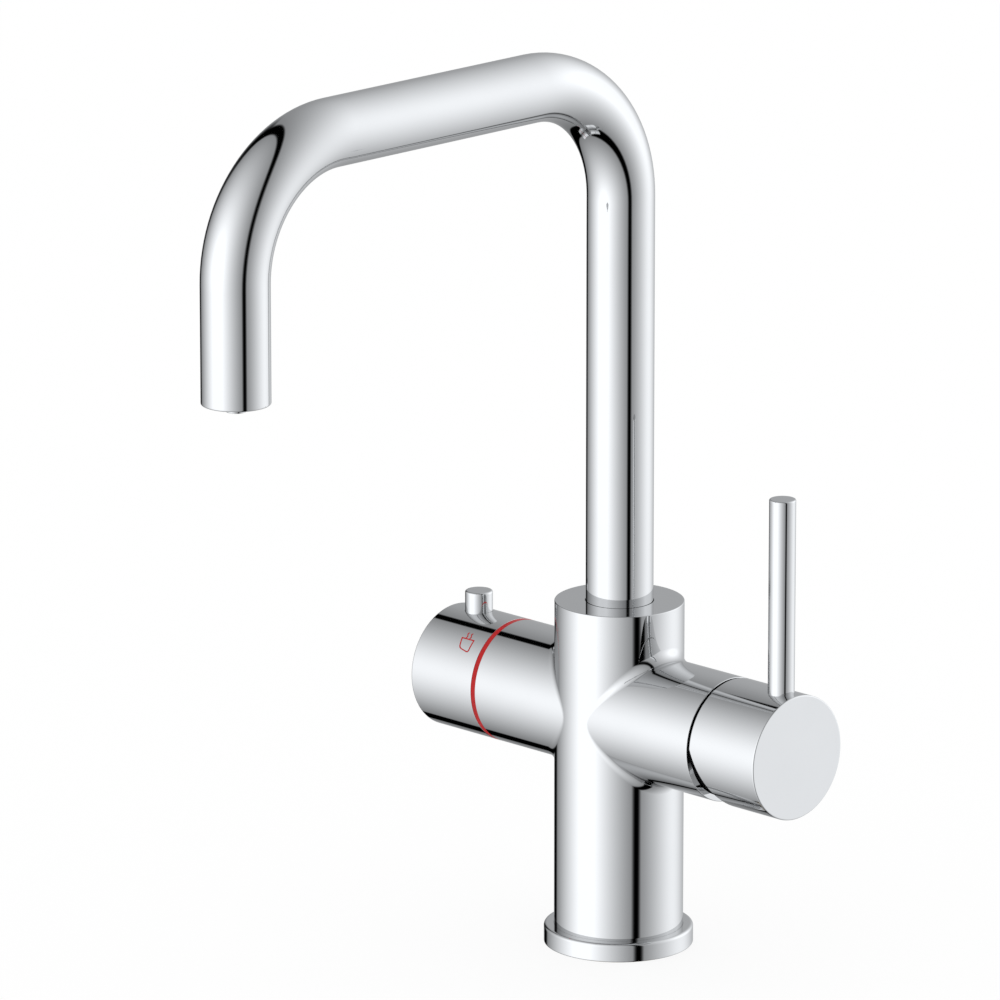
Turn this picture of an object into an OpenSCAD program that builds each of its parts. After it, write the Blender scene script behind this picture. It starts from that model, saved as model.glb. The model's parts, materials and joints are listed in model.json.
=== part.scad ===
// Three-in-one boiling water tap: a deck-mounted column with a swivelling square-U spout,
// a side mixer with a pin lever (+X) and a boiling-water knob with a red ring (-X).
// The spout points along -Y. The origin is the centre of the foot ring's underside.

/* [Column] */
// Diameter of the column
body_d = 48; // [46.5:0.5:49]
// Height of the column's flat top above the worktop
body_top = 131.4; // [130:0.1:145]
// Diameter of the foot ring
base_d = 55.5; // [54:0.5:62]
// Height of the foot ring
base_h = 7; // [6:0.5:9]

/* [Branches] */
// Diameter of both branches and of both knobs
branch_d = 46.5; // [46:0.1:46.5]
// Height of the branches' axis
branch_z = 89.6; // [85:0.1:90]
// Distance from the column's axis to the end of the mixer branch
mixer_end = 56.9; // [56:0.1:60]
// Distance from the column's axis to the end of the boiling-water branch
boil_end = 52.3; // [52:0.1:55]
// Fillet between the mixer branch and the column
mixer_fillet = 4.5; // [3:0.5:5]
// Fillet between the boiling-water branch and the column
boil_fillet = 2.5; // [2:0.5:4]

/* [Spout] */
// Outer diameter of the spout tube
tube_d = 25; // [24.6:0.1:25]
// Wall of the spout tube
tube_wall = 1.5; // [1:0.1:1.6]
// Distance from the column's axis to the outlet's axis
spout_reach = 193.5; // [160:0.5:240]
// Height of the centre line of the level run
run_z = 331.5; // [300:0.5:380]
// Height of the outlet's rim
outlet_z = 241.3; // [220:0.1:250]
// Radius of both bends along the centre line
bend_r = 47; // [40:1:55]
// Swivel to each side
swivel_angle = 90; // [45:5:120]

/* [Mixer knob] */
// Seam between the mixer branch and its knob
seam = 1.2; // [1:0.1:1.5]
// Length of the mixer knob
mixer_knob_l = 32.2; // [31:0.1:36]
// Slant of the knob's cut, which leaves room for the tilt to full flow
cut_slant = 22; // [16:1:24]
// Diameter of the pin lever
lever_d = 9.8; // [8:0.1:11]
// Height of the pin lever's tip
lever_top = 185.4; // [150:0.1:220]

/* [Boiling-water knob] */
// Width of the red ring
ring_w = 2.1; // [1.5:0.1:2.5]
// Distance from the column's axis to the knob's outer end
boil_knob_end = 86; // [85:0.5:92]
// Diameter of the push pin
push_pin_d = 10.4; // [9.6:0.1:10.4]
// Height of the push pin's top
push_pin_top = 120.6; // [119:0.1:122]
// Travel of the push pin
push_travel = 3; // [2.5:0.1:3]

/* [Worktop fixing] */
// Outer diameter of the threaded shank
shank_d = 32; // [32:0.5:33]
// Bore of the shank, through which the hoses pass
shank_bore = 27; // [26:0.5:27]
// Length of the shank below the worktop's surface
shank_l = 75; // [60:1:90]
// Thickness of the worktop that the nut is drawn up against
worktop_t = 40; // [20:1:45]
// Diameter of each of the three threaded inlets
inlet_d = 9; // [8.5:0.1:9]

/* [Hidden] */

$fn = 96;
chrome = [0.86, 0.87, 0.88];
brass = [0.78, 0.64, 0.34];
steel = [0.62, 0.63, 0.65];
black = [0.10, 0.10, 0.11];
white = [0.93, 0.93, 0.90];
grey = [0.55, 0.56, 0.57];
red = [0.80, 0.12, 0.14];

body_r = body_d / 2;
branch_r = branch_d / 2;
body_foot = 2;                       // the column stands this high in the foot ring
socket_top = 18;                     // top of the threaded socket for the shank
inlet_l = 12;                        // depth of each threaded inlet
inlet_r = inlet_d / 2;
lead_in = 1;                         // countersink at each inlet's mouth
inlet_pitch_r = 8;                   // radius of the circle on which the inlets lie
way_r = 3;                           // radius of the drilled water ways
hot_side = inlet_pitch_r * sin(60);  // hot and cold inlets, to each side of the centre line
hot_x = inlet_pitch_r / 2;
port_low = 6;                        // cross ways of hot and cold, below the branches' axis
thread_pitch = 1.5;                  // the shank's thread, cut as rings
thread_depth = 0.92;
washer_r = 26;
washer_gap = 0.2;                    // play of both washers round the shank
rubber_t = 3;
steel_t = 2;
nut_flats = 46;
nut_t = 8;

chamber_r = 12.75;                   // bore in which the spout's foot turns
chamber_floor = 101;
core_r = 4;                          // socket for the inner boiling tube
core_floor = 93.5;
ferrule_r = chamber_r - 0.05;
ferrule_z = 104;
ferrule_top = 126;
groove_z = 121;                      // retaining groove, with the dog point in it
dog_r = 1.6;
grub_r = 2.5;                        // both grub screws
hex_r = 1.44;                        // corner radius of a 2.5 mm hexagon socket
hex_depth = 2.5;
seal_zs = [106, 111.5];              // lower edges of the ferrule's two seal grooves
slide_z = 115.6;                     // lower edge of the bearing ring's groove
slide_groove_r = 11.9;
tube_r = tube_d / 2;
tube_ir = tube_r - tube_wall;
ferrule_ir = 8.6;
inner_tube_r = 3;
inner_tube_ir = 2.2;
aerator_l = 10;
aerator_lift = 0.4;                  // aerator insert above the outlet's rim
aerator_ir = 9.6;
hub_r = 5.4;
hub_ir = 4.3;
nozzle_r = 3.7;                      // tip of the boiling-water nozzle
nozzle_seat_r = 4.25;                // its upper part, in the aerator's hub
nozzle_drop = 2.8;                   // the tip stands this far out of the spout

seat_x = 17.2;                       // floor of the mixer's cartridge chamber
cart_r = 17.4;
base_t = 3.2;                        // cartridge base plate
shoulder_x = 44.5;                   // shoulder that the nut clamps
mouth_r = 20;                        // threaded mouth of the mixer branch
pivot_x = 50;                        // tilt axis of the mixer stem
neck_r = 12.2;
carrier_r = 10.5;
stem_r = 4;
ball_arm = 20;                       // pivot to the ball at the stem's inner end
ball_r = 2.3;
dome_r = 21;
dome_lip = 0.4;                      // the dome's rim lies this far outside the tilt axis
dome_hole_r = 9.8;
knob_x = mixer_end + seam;           // inner end of the mixer knob
cut_rise = 2;                        // the cut starts this far above the knob's axis
knob_end_x = knob_x + mixer_knob_l;
knob_floor = 71;
lever_x = knob_end_x - 8.2;
lever_foot = branch_z + 18;          // the lever stands in a seat this high
lever_tap_r = 3;
grub_x = 75;
plug_r = 3.15;
port_offset = 9.5;                   // cartridge ports from the branch's axis
disc_start = -2.6;                   // the moving disc at rest, below the axis

valve_seat = 17;                     // floor of the valve chamber on the boiling side
valve_nose_r = 8.9;
valve_bore_r = 9.5;
valve_thread_s = 34;                 // start of the valve chamber's thread
valve_thread_r = 10.45;
valve_mouth_s = 44;                  // floor of the counterbore for the hexagon
valve_mouth_r = 15;
spline_s = 58;                       // start of the spindle's splined end
spindle_r = 4.05;
disc_r = 6.9;
knob_s = boil_end + ring_w + 0.3;    // inner end of the boiling-water knob
web_end = 81.5;                      // outside face of the web, under the end cap
web_s = 78.5;                        // inside face of the knob's end web
pin_s = knob_s + 18.65;              // push pin from the column's axis
pin_floor = 13.6;                    // floor of the pin's guide, from the branch's axis
spring_solid = 3.6;                  // length of the spring when it is pressed together
pin_shoulder = pin_floor + spring_solid + push_travel;  // underside of the pin's head at rest
cap_r = 20.95;                       // end cap of the knob
guide_r = 7.2;
pin_stem_r = 1.5;
push_r = push_pin_d / 2;
foot_low = 9.4;                      // the pin's foot at rest, in the sleeve's slot
sleeve_r = 11.4;
sleeve_ir = 10;

// Places the children on the mixer branch: local z runs outwards along +X.
module mixer_axis(x = 0) {
  translate([x, 0, branch_z]) rotate([0, 90, 0]) children();
}

// Places the children on the boiling-water branch: local z runs outwards along -X
// and local x points up.
module boil_axis(s = 0) {
  translate([-s, 0, branch_z]) rotate([0, -90, 0]) children();
}

// A plain ring between two radii.
module ring(ro, ri, h) {
  difference() {
    cylinder(r = ro, h = h);
    translate([0, 0, -1]) cylinder(r = ri, h = h + 2);
  }
}

// A round-section ring.
module o_ring(centre_r, section_r) {
  rotate_extrude() translate([centre_r, 0]) circle(r = section_r, $fn = 32);
}

// Puts the children at the three inlets: boiling water at -X, hot and cold towards +X.
module at_inlets(z) {
  for (a = [60, 180, 300]) rotate(a) translate([inlet_pitch_r, 0, z]) children();
}

// One stretch of the spout's path with radius r. Every stretch meets the next face to face.
module spout_path(r, z_low, z_out) {
  translate([0, 0, z_low]) cylinder(r = r, h = run_z - bend_r - z_low);
  translate([0, -bend_r, run_z - bend_r]) rotate([90, 0, 90])
    rotate_extrude(angle = 90) translate([bend_r, 0]) circle(r = r);
  translate([0, -bend_r, run_z]) rotate([90, 0, 0])
    cylinder(r = r, h = spout_reach - 2 * bend_r);
  translate([0, bend_r - spout_reach, run_z - bend_r]) rotate([90, 0, 90])
    rotate_extrude(start = 90, angle = 90) translate([bend_r, 0]) circle(r = r);
  translate([0, -spout_reach, z_out]) cylinder(r = r, h = run_z - bend_r - z_out);
}

// ---- column and worktop fixing ----

// Chambers, mouths and drilled ways inside the column and its branches.
module body_ways() {
  // spout chamber, core socket, retaining screw's hole in the back
  translate([0, 0, chamber_floor]) cylinder(r = chamber_r, h = 60);
  translate([0, 0, core_floor]) cylinder(r = core_r, h = 20);
  translate([0, 0, groove_z]) rotate([-90, 0, 0]) cylinder(r = grub_r, h = 40, $fn = 48);
  // mixer branch: cartridge chamber and threaded mouth
  mixer_axis(seat_x) cylinder(r = cart_r, h = 60);
  mixer_axis(shoulder_x) cylinder(r = mouth_r, h = 40);
  mixer_axis(pivot_x + dome_lip) cylinder(r = dome_r + 0.1, h = 40);
  // boiling branch: valve chamber, thread, counterbore
  boil_axis(valve_seat) cylinder(r = valve_bore_r, h = 30);
  boil_axis(valve_thread_s) cylinder(r = valve_thread_r, h = 20);
  boil_axis(valve_mouth_s) cylinder(r = valve_mouth_r, h = 20);
  // shank socket and the three inlets
  translate([0, 0, -1]) cylinder(d = shank_d, h = socket_top + 1);
  at_inlets(socket_top) cylinder(r1 = inlet_r + lead_in, r2 = inlet_r, h = lead_in);
  at_inlets(socket_top + lead_in / 2) cylinder(r = inlet_r, h = inlet_l + lead_in / 2);
  // hot and cold: up from the inlets, then across to the cartridge's lower ports
  for (side = [-1, 1])
    translate([hot_x, side * hot_side, socket_top]) {
      cylinder(r = way_r, h = branch_z - port_low - socket_top);
      translate([0, 0, branch_z - port_low - way_r - socket_top]) rotate([0, 90, 0])
        cylinder(r = way_r, h = 30);
    }
  // boiling water: up from its inlet, then across to the valve's seat
  translate([-inlet_pitch_r, 0, socket_top]) cylinder(r = way_r, h = branch_z - socket_top);
  boil_axis(inlet_pitch_r) cylinder(r = way_r, h = 20);
  // boiling water's way back from the valve to the core socket
  translate([0, 0, branch_z + 7]) rotate([0, -90, 0]) cylinder(r = 2, h = 20);
  // mixed water: from the cartridge's upper port into the spout chamber
  mixer_axis(9) translate([-port_offset, 0, 0]) cylinder(r = way_r, h = 20);
  translate([9, 0, branch_z + port_offset]) cylinder(r = way_r, h = 12);
}

// The fillet that a ball of radius ball_r leaves when it rolls round the joint of the column
// and a branch. It bites a little into both, so the strip's edges lie just under their
// surfaces. side is 1 for the mixer branch and -1 for the boiling-water branch.
module branch_fillet(ball_r, side) {
  bite = 0.06;
  rounds = 72;
  steps = 5;
  row = steps + 2;
  far_body = body_r + ball_r - bite;
  far_branch = branch_r + ball_r - bite;
  points = [for (i = [0:rounds - 1]) let (
      a = i * 360 / rounds,
      y = far_branch * sin(a),
      z = far_branch * cos(a),
      x = sqrt(far_body * far_body - y * y),
      centre = [x, y, z],
      to_body = [-x, -y, 0] / far_body,
      to_branch = [0, -y, -z] / far_branch,
      spread = acos(to_body * to_branch),
      middle = (to_body + to_branch) / norm(to_body + to_branch))
    each concat(
      [for (k = [0:steps]) centre + ball_r * (sin(spread * (1 - k / steps)) * to_body
        + sin(spread * k / steps) * to_branch) / sin(spread)],
      [centre + (ball_r / cos(spread / 2) + 1) * middle])];
  faces = [for (i = [0:rounds - 1]) for (k = [0:row - 1]) let (
      a = i * row + k,
      b = i * row + (k + 1) % row,
      c = ((i + 1) % rounds) * row + (k + 1) % row,
      d = ((i + 1) % rounds) * row + k)
    each [[a, b, c], [a, c, d]]];
  translate([0, 0, branch_z]) mirror([side < 0 ? 1 : 0, 0, 0])
    polyhedron(points = points, faces = faces);
}

// Chromed brass casting: column, both branches and the fillets between them.
module body() {
  color(chrome) difference() {
    union() {
      translate([0, 0, body_foot]) cylinder(r = body_r, h = body_top - body_foot);
      mixer_axis() cylinder(r = branch_r, h = mixer_end);
      boil_axis() cylinder(r = branch_r, h = boil_end);
      branch_fillet(mixer_fillet, 1);
      branch_fillet(boil_fillet, -1);
    }
    body_ways();
  }
}

module base_ring() {
  bevel = 1.1;
  low_bevel = 0.4;
  ring_r = base_d / 2;
  seat_r = body_r + 0.05;
  inner_r = 19;
  color(chrome) rotate_extrude() polygon([
    [inner_r, 0], [ring_r - low_bevel, 0], [ring_r, low_bevel], [ring_r, base_h - bevel],
    [ring_r - bevel, base_h], [seat_r, base_h], [seat_r, body_foot], [inner_r, body_foot]]);
}

module base_seal() {
  color(black) ring(18.9, shank_d / 2 + 0.3, body_foot);
}

// Brass tail that carries the tap. Its thread runs from the foot to just under the worktop's
// surface, and is drawn as rings of the thread's section.
module threaded_shank() {
  crest = shank_d / 2;
  root = crest - thread_depth;
  low = 1 - shank_l;
  turns = floor((shank_l - 3) / thread_pitch);
  flat = thread_pitch / 8;
  slope = (thread_pitch - 2 * flat) / 2;
  teeth = [for (i = [0:turns - 1]) let (z = low + i * thread_pitch)
    each [[root, z], [root, z + flat], [crest, z + flat + slope],
      [crest, z + 2 * flat + slope]]];
  top = low + turns * thread_pitch;
  color(brass) rotate_extrude() polygon(concat(
    [[shank_bore / 2, -shank_l], [root, -shank_l]], teeth,
    [[root, top], [root, top + flat], [crest, top + 2 * flat], [crest, socket_top],
      [shank_bore / 2, socket_top]]));
}

module rubber_washer() {
  color(black) translate([0, 0, -worktop_t - rubber_t])
    ring(washer_r, shank_d / 2 + washer_gap, rubber_t);
}

module steel_washer() {
  color(steel) translate([0, 0, -worktop_t - rubber_t - steel_t])
    ring(washer_r, shank_d / 2 + washer_gap, steel_t);
}

module back_nut() {
  chamfer_h = 2;
  face_r = nut_flats / 2 + 0.4;
  corner_r = nut_flats / sqrt(3);
  color(brass) translate([0, 0, -worktop_t - rubber_t - steel_t - nut_t]) difference() {
    intersection() {
      cylinder(r = corner_r, h = nut_t, $fn = 6);
      // chamfered corners of the hexagon
      rotate_extrude() polygon([[0, 0], [face_r, 0], [corner_r + 0.04, chamfer_h],
        [corner_r + 0.04, nut_t - chamfer_h], [face_r, nut_t], [0, nut_t]]);
    }
    translate([0, 0, -1]) cylinder(d = shank_d, h = nut_t + 2);
  }
}

// Grub screw in the back of the column; its dog point stands in the ferrule's groove.
module spout_retaining_screw() {
  dog_start = 11.3;
  screw_start = 14;
  screw_l = 7;
  color(steel) translate([0, 0, groove_z]) rotate([-90, 0, 0]) difference() {
    union() {
      translate([0, 0, dog_start]) cylinder(r = dog_r, h = 4, $fn = 48);
      translate([0, 0, screw_start]) cylinder(r = grub_r, h = screw_l, $fn = 48);
    }
    translate([0, 0, screw_start + screw_l - hex_depth]) cylinder(r = hex_r, h = 4, $fn = 6);
  }
}

// ---- spout ----

module spout_tube() {
  color(chrome) difference() {
    spout_path(tube_r, ferrule_top, outlet_z);
    spout_path(tube_ir, ferrule_top, outlet_z);
  }
}

// Brazed into the tube's foot. Two seal grooves, and a part-turn groove whose ends stop the
// swivel against the retaining screw.
module spout_ferrule() {
  stop = swivel_angle + 9;
  color(brass) difference() {
    union() {
      translate([0, 0, ferrule_z]) cylinder(r = ferrule_r, h = ferrule_top - ferrule_z);
      translate([0, 0, ferrule_top]) cylinder(r = tube_ir, h = 9);
    }
    translate([0, 0, ferrule_z - 1]) cylinder(r = ferrule_ir, h = 50);
    for (z = seal_zs)
      translate([0, 0, z]) ring(ferrule_r + 1, 10.9, 2.4);
    translate([0, 0, slide_z]) ring(ferrule_r + 1, slide_groove_r, 2);
    translate([0, 0, groove_z - dog_r - 0.15])
      rotate_extrude(start = 90 - stop, angle = 2 * stop)
        translate([11, 0]) square([3, 2 * dog_r + 0.3]);
  }
}

module spout_o_rings() {
  section_r = 0.9;
  color(black) for (z = seal_zs)
    translate([0, 0, z + 1.2]) o_ring(chamber_r - section_r - 0.03, section_r);
}

// Plain bearing ring in the ferrule's upper groove.
module spout_slide_ring() {
  color(white) translate([0, 0, slide_z + 0.02]) ring(chamber_r - 0.05, slide_groove_r + 0.02, 1.96);
}

module inner_boiling_tube() {
  color(steel) difference() {
    spout_path(inner_tube_r, core_floor + 1, outlet_z + 3);
    spout_path(inner_tube_ir, core_floor + 1, outlet_z + 3);
  }
}

module boiling_tube_seal() {
  color(black) translate([0, 0, 99.4]) o_ring(3.48, 0.46);
}

// Threaded insert in the outlet. It holds the screen and, in its hub, the boiling nozzle.
module aerator_housing() {
  ribs = 4;
  rib_t = 1.2;
  rib_z = 3;
  seal_groove_r = 9.95;
  color(grey) translate([0, -spout_reach, outlet_z + aerator_lift]) {
    difference() {
      ring(tube_ir - 0.02, aerator_ir, aerator_l);
      translate([0, 0, 7]) ring(tube_ir + 1, seal_groove_r, 1.3);
    }
    difference() {
      union() {
        cylinder(r = hub_r, h = aerator_l);
        for (k = [0:ribs - 1]) rotate(k * 360 / ribs + 45)
          translate([hub_r - 0.4, -rib_t / 2, rib_z])
            cube([aerator_ir + 0.2 - hub_r + 0.4, rib_t, aerator_l - rib_z]);
      }
      translate([0, 0, -1]) cylinder(r = hub_ir, h = aerator_l + 2);
    }
  }
}

// Perforated plate that straightens the mixed water.
module aerator_screen() {
  holes = 20;
  color(steel) translate([0, -spout_reach, outlet_z + 0.8]) difference() {
    ring(aerator_ir - 0.05, hub_r + 0.05, 1.2);
    for (k = [0:holes - 1]) rotate(k * 360 / holes)
      translate([(aerator_ir + hub_r) / 2, 0, -1]) cylinder(r = 0.75, h = 4, $fn = 24);
  }
}

module aerator_seal() {
  color(black) translate([0, -spout_reach, outlet_z + 8.05]) o_ring(10.45, 0.5);
}

// Separate outlet for the boiling water in the middle of the aerator. Its tip stands proud
// of the spout's rim, and its flared mouth keeps the jet whole.
module boiling_nozzle() {
  seat_z = nozzle_drop + aerator_lift - 0.2;
  top_z = nozzle_drop + 10;
  color(chrome) translate([0, -spout_reach, outlet_z - nozzle_drop]) difference() {
    union() {
      cylinder(r = nozzle_r, h = seat_z + 1);
      translate([0, 0, seat_z]) cylinder(r = nozzle_seat_r, h = top_z - seat_z);
      translate([0, 0, top_z]) cylinder(r1 = nozzle_seat_r, r2 = 3.6, h = 1);
    }
    translate([0, 0, -1]) cylinder(r = inner_tube_ir, h = 20);
    translate([0, 0, nozzle_drop + 3]) cylinder(r = inner_tube_r + 0.02, h = 10);
    translate([0, 0, -0.01]) cylinder(r1 = 3.1, r2 = inner_tube_ir, h = 1.6);
  }
}

// ---- mixer cartridge and knob ----

// The three ports of the cartridge: mixed water above, hot and cold below.
module at_ports() {
  translate([-port_offset, 0, 0]) children();
  for (side = [-1, 1]) translate([port_low + way_r, side * hot_side, 0]) children();
}

module cartridge_base() {
  color(grey) mixer_axis(seat_x) difference() {
    cylinder(r = cart_r - 0.05, h = base_t);
    at_ports() translate([0, 0, -1]) cylinder(r = way_r, h = base_t + 2);
    at_ports() translate([0, 0, -1]) cylinder(r = 4.4, h = 2);
  }
}

module cartridge_seals() {
  color(black) mixer_axis(seat_x) at_ports()
    translate([0, 0, 0.5]) o_ring(3.85, 0.5);
}

module cartridge_body() {
  x0 = seat_x + base_t;
  color(grey) mixer_axis(x0) difference() {
    union() {
      cylinder(r = cart_r - 0.1, h = shoulder_x - x0);
      cylinder(r = neck_r, h = pivot_x - x0);
    }
    translate([0, 0, -1]) cylinder(r = 15, h = 15.6);
    translate([0, 0, 10]) cylinder(r = carrier_r + 0.05, h = 40);
  }
}

module fixed_ceramic_disc() {
  color(white) mixer_axis(seat_x + base_t) difference() {
    cylinder(r = 14.9, h = 3);
    at_ports() translate([0, 0, -1]) cylinder(r = way_r, h = 5);
  }
}

// Slides and turns on the fixed disc; its recess joins the ports.
module moving_ceramic_disc() {
  color(white) mixer_axis(seat_x + base_t + 3.05) translate([-disc_start, 0, 0]) difference() {
    cylinder(r = 11, h = 3);
    translate([-2.5, 0, -1]) cylinder(r = 6.2, h = 2.4);
  }
}

module disc_driver() {
  color(grey) mixer_axis(seat_x + base_t + 6.05) translate([-disc_start, 0, 0]) difference() {
    union() {
      cylinder(r = 11, h = 1.4);
      translate([disc_start, 0, 0]) cylinder(r = 5.2, h = 5);
    }
    translate([disc_start, 0, 0.8]) cylinder(r = ball_r + 0.2, h = 8);
  }
}

// Turns in the cartridge's neck and carries the pivot pin; the stem tilts in its slot.
module cartridge_carrier() {
  x0 = 32.2;
  slot_w = 8.3;
  color(white) mixer_axis(x0) difference() {
    union() {
      cylinder(r = carrier_r, h = 54 - x0);
      cylinder(r = 14.4, h = 2.6);
    }
    translate([-8.5, -slot_w / 2, -1]) cube([15, slot_w, 40]);
    translate([0, 0, pivot_x - x0]) rotate([90, 0, 0]) cylinder(r = 1.5, h = 40, center = true);
  }
}

module pivot_pin() {
  color(steel) translate([pivot_x, 0, branch_z]) rotate([90, 0, 0])
    cylinder(r = 1.5, h = 19.6, center = true);
}

// Steel stem: ball at the inner end, eye on the pivot pin, square drive in the knob.
module cartridge_stem() {
  color(steel) translate([pivot_x, 0, branch_z]) difference() {
    union() {
      translate([-ball_arm, 0, 0]) sphere(r = ball_r, $fn = 48);
      translate([-ball_arm, 0, 0]) rotate([0, 90, 0]) cylinder(r = 1.5, h = ball_arm);
      translate([-12, 0, 0]) rotate([0, 90, 0]) cylinder(r = 2.6, h = 12);
      rotate([90, 0, 0]) cylinder(r = 3.9, h = 8, center = true);
      rotate([0, 90, 0]) cylinder(r = stem_r, h = 28);
    }
    rotate([90, 0, 0]) cylinder(r = 1.55, h = 10, center = true);
    // flat for the grub screw
    translate([21, -5, -stem_r - 1]) cube([8, 10, 1.6]);
  }
}

// Threaded ring that clamps the cartridge; the dome is pressed on its boss.
module cartridge_nut() {
  color(brass) mixer_axis(shoulder_x) difference() {
    union() {
      cylinder(r = mouth_r - 0.05, h = pivot_x - shoulder_x);
      cylinder(r = 18.2, h = 8);
    }
    translate([0, 0, -1]) cylinder(r = neck_r + 0.1, h = 12);
    for (k = [0:3]) rotate(k * 90 + 45)
      translate([14.4, -1.5, pivot_x - shoulder_x + 0.5]) cube([2.6, 3, 4]);
  }
}

// Glossy black dome round the pivot, seen in the wedge gap. Being centred on the pivot it
// clears the knob at every tilt.
module dome_cover() {
  dome_t = 1.4;
  color(black) mixer_axis(pivot_x) difference() {
    sphere(r = dome_r);
    sphere(r = dome_r - dome_t);
    translate([0, 0, dome_lip - 30]) cylinder(r = 30, h = 30);
    cylinder(r = dome_hole_r, h = 30);
  }
}

// Hollow knob. Its inner rim is square to the axis in the upper half and slants back below,
// so that it tips towards the branch when the lever is lifted.
module mixer_knob() {
  rim_bevel = 0.4;
  cavity_r = 21.5;
  stem_end = pivot_x + 28.5;
  color(chrome) difference() {
    mixer_axis(knob_x) difference() {
      rotate_extrude() polygon([[0, 0], [branch_r, 0], [branch_r, mixer_knob_l - rim_bevel],
        [branch_r - rim_bevel, mixer_knob_l], [0, mixer_knob_l]]);
      translate([0, 0, -1]) cylinder(r = cavity_r, h = knob_floor - knob_x + 1);
      cylinder(r = stem_r + 0.02, h = stem_end - knob_x);
    }
    // the slanted cut
    translate([knob_x, 0, branch_z + cut_rise]) rotate([0, -cut_slant, 0])
      translate([-20, -30, -40]) cube([20, 60, 40]);
    // grub screw's hole from below
    translate([grub_x, 0, branch_z - 30]) cylinder(r = grub_r, h = 30, $fn = 48);
    translate([grub_x, 0, branch_z - 30]) cylinder(r = plug_r + 0.05, h = 10, $fn = 48);
    // seat and tapped hole of the lever
    translate([lever_x, 0, lever_foot]) cylinder(d = lever_d, h = 10);
    translate([lever_x, 0, lever_foot - 10]) cylinder(r = lever_tap_r, h = 20);
  }
}

module lever_rod() {
  bevel = 0.5;
  rod_r = lever_d / 2;
  rod_l = lever_top - lever_foot;
  color(chrome) translate([lever_x, 0, lever_foot]) {
    rotate_extrude() polygon([[0, 0], [rod_r, 0], [rod_r, rod_l - bevel],
      [rod_r - bevel, rod_l], [0, rod_l]]);
    translate([0, 0, -9]) cylinder(r = lever_tap_r, h = 9.5);
  }
}

module knob_grub_screw() {
  color(steel) translate([grub_x, 0, branch_z - 11.4]) difference() {
    cylinder(r = grub_r, h = 8, $fn = 48);
    translate([0, 0, -0.1]) cylinder(r = hex_r, h = hex_depth + 0.1, $fn = 6);
  }
}

// Plug that hides the grub screw; its face follows the knob.
module knob_plug() {
  color(grey) intersection() {
    translate([grub_x, 0, branch_z - 30]) cylinder(r = plug_r, h = 9.9, $fn = 48);
    mixer_axis() cylinder(r = branch_r - 0.05, h = knob_end_x);
  }
}

// ---- boiling-water valve and knob ----

module red_ring() {
  color(red) boil_axis(boil_end) ring(branch_r, 15.2, ring_w);
}

module valve_seat_seal() {
  color(black) boil_axis(valve_seat) ring(6.4, 4.6, 1.5);
}

// Quarter-turn ceramic headwork: nose with side windows, thread, hexagon, neck.
module valve_body() {
  s0 = valve_seat + 1.5;
  hexagon = 24;
  color(brass) boil_axis(s0) difference() {
    union() {
      cylinder(r = valve_nose_r, h = 16);
      translate([0, 0, valve_thread_s - s0 + 0.1]) cylinder(r = valve_thread_r - 0.05, h = 10);
      translate([0, 0, valve_mouth_s - s0]) cylinder(r = hexagon / sqrt(3), h = 5, $fn = 6);
      translate([0, 0, valve_mouth_s - s0]) cylinder(r = 8, h = 12);
    }
    translate([0, 0, -1]) cylinder(r = 7, h = 11.4);
    translate([0, 0, 5]) cylinder(r = spindle_r + 0.05, h = 60);
    // side windows through which the water leaves
    translate([-4, -12, 6]) cube([8, 24, 4.2]);
    // spindle seal's groove
    translate([0, 0, 20]) cylinder(r = 5.2, h = 2.2);
  }
}

module valve_thread_seal() {
  color(black) boil_axis(valve_thread_s - 0.7) o_ring(9.2, 0.28);
}

// Two quarter windows in a disc.
module disc_windows(h) {
  for (k = [0, 180]) rotate(k) rotate_extrude(angle = 80) translate([2, 0]) square([3.6, h]);
}

module fixed_valve_disc() {
  color(white) boil_axis(valve_seat + 2.5) difference() {
    cylinder(r = disc_r, h = 2.5);
    translate([0, 0, -1]) disc_windows(5);
  }
}

module moving_valve_disc() {
  color(white) boil_axis(valve_seat + 5.05) difference() {
    cylinder(r = disc_r, h = 2.5);
    rotate(90) translate([0, 0, -1]) disc_windows(5);
  }
}

// Spindle with a drive plate behind the moving disc and a splined end for the knob.
module valve_spindle() {
  teeth = 20;
  spline = [for (k = [0:2 * teeth - 1]) let (a = k * 180 / teeth, r = k % 2 == 0 ? 4 : 3.5)
    [r * cos(a), r * sin(a)]];
  s0 = valve_seat + 7.6;
  color(brass) boil_axis(s0) difference() {
    union() {
      cylinder(r = disc_r - 0.1, h = 3.8);
      cylinder(r = spindle_r, h = spline_s - s0);
      translate([0, 0, spline_s - s0 - 0.5]) linear_extrude(9) polygon(spline);
    }
    // cross passage behind the moving disc, and the tapped end
    translate([-2.5, -8, -1]) cube([5, 16, 3.4]);
    translate([0, 0, 66.5 - s0 - 8]) cylinder(r = 1.65, h = 12, $fn = 48);
    // circlip groove
    translate([0, 0, 56.4 - s0]) ring(6, 3.4, 1);
  }
}

module spindle_o_ring() {
  color(black) boil_axis(valve_seat + 1.5 + 21.1) o_ring(4.65, 0.52);
}

module spindle_circlip() {
  color(steel) boil_axis(56.5) rotate([0, 0, 30])
    rotate_extrude(angle = 300) translate([3.45, 0]) square([3.3, 0.8]);
}

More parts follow.
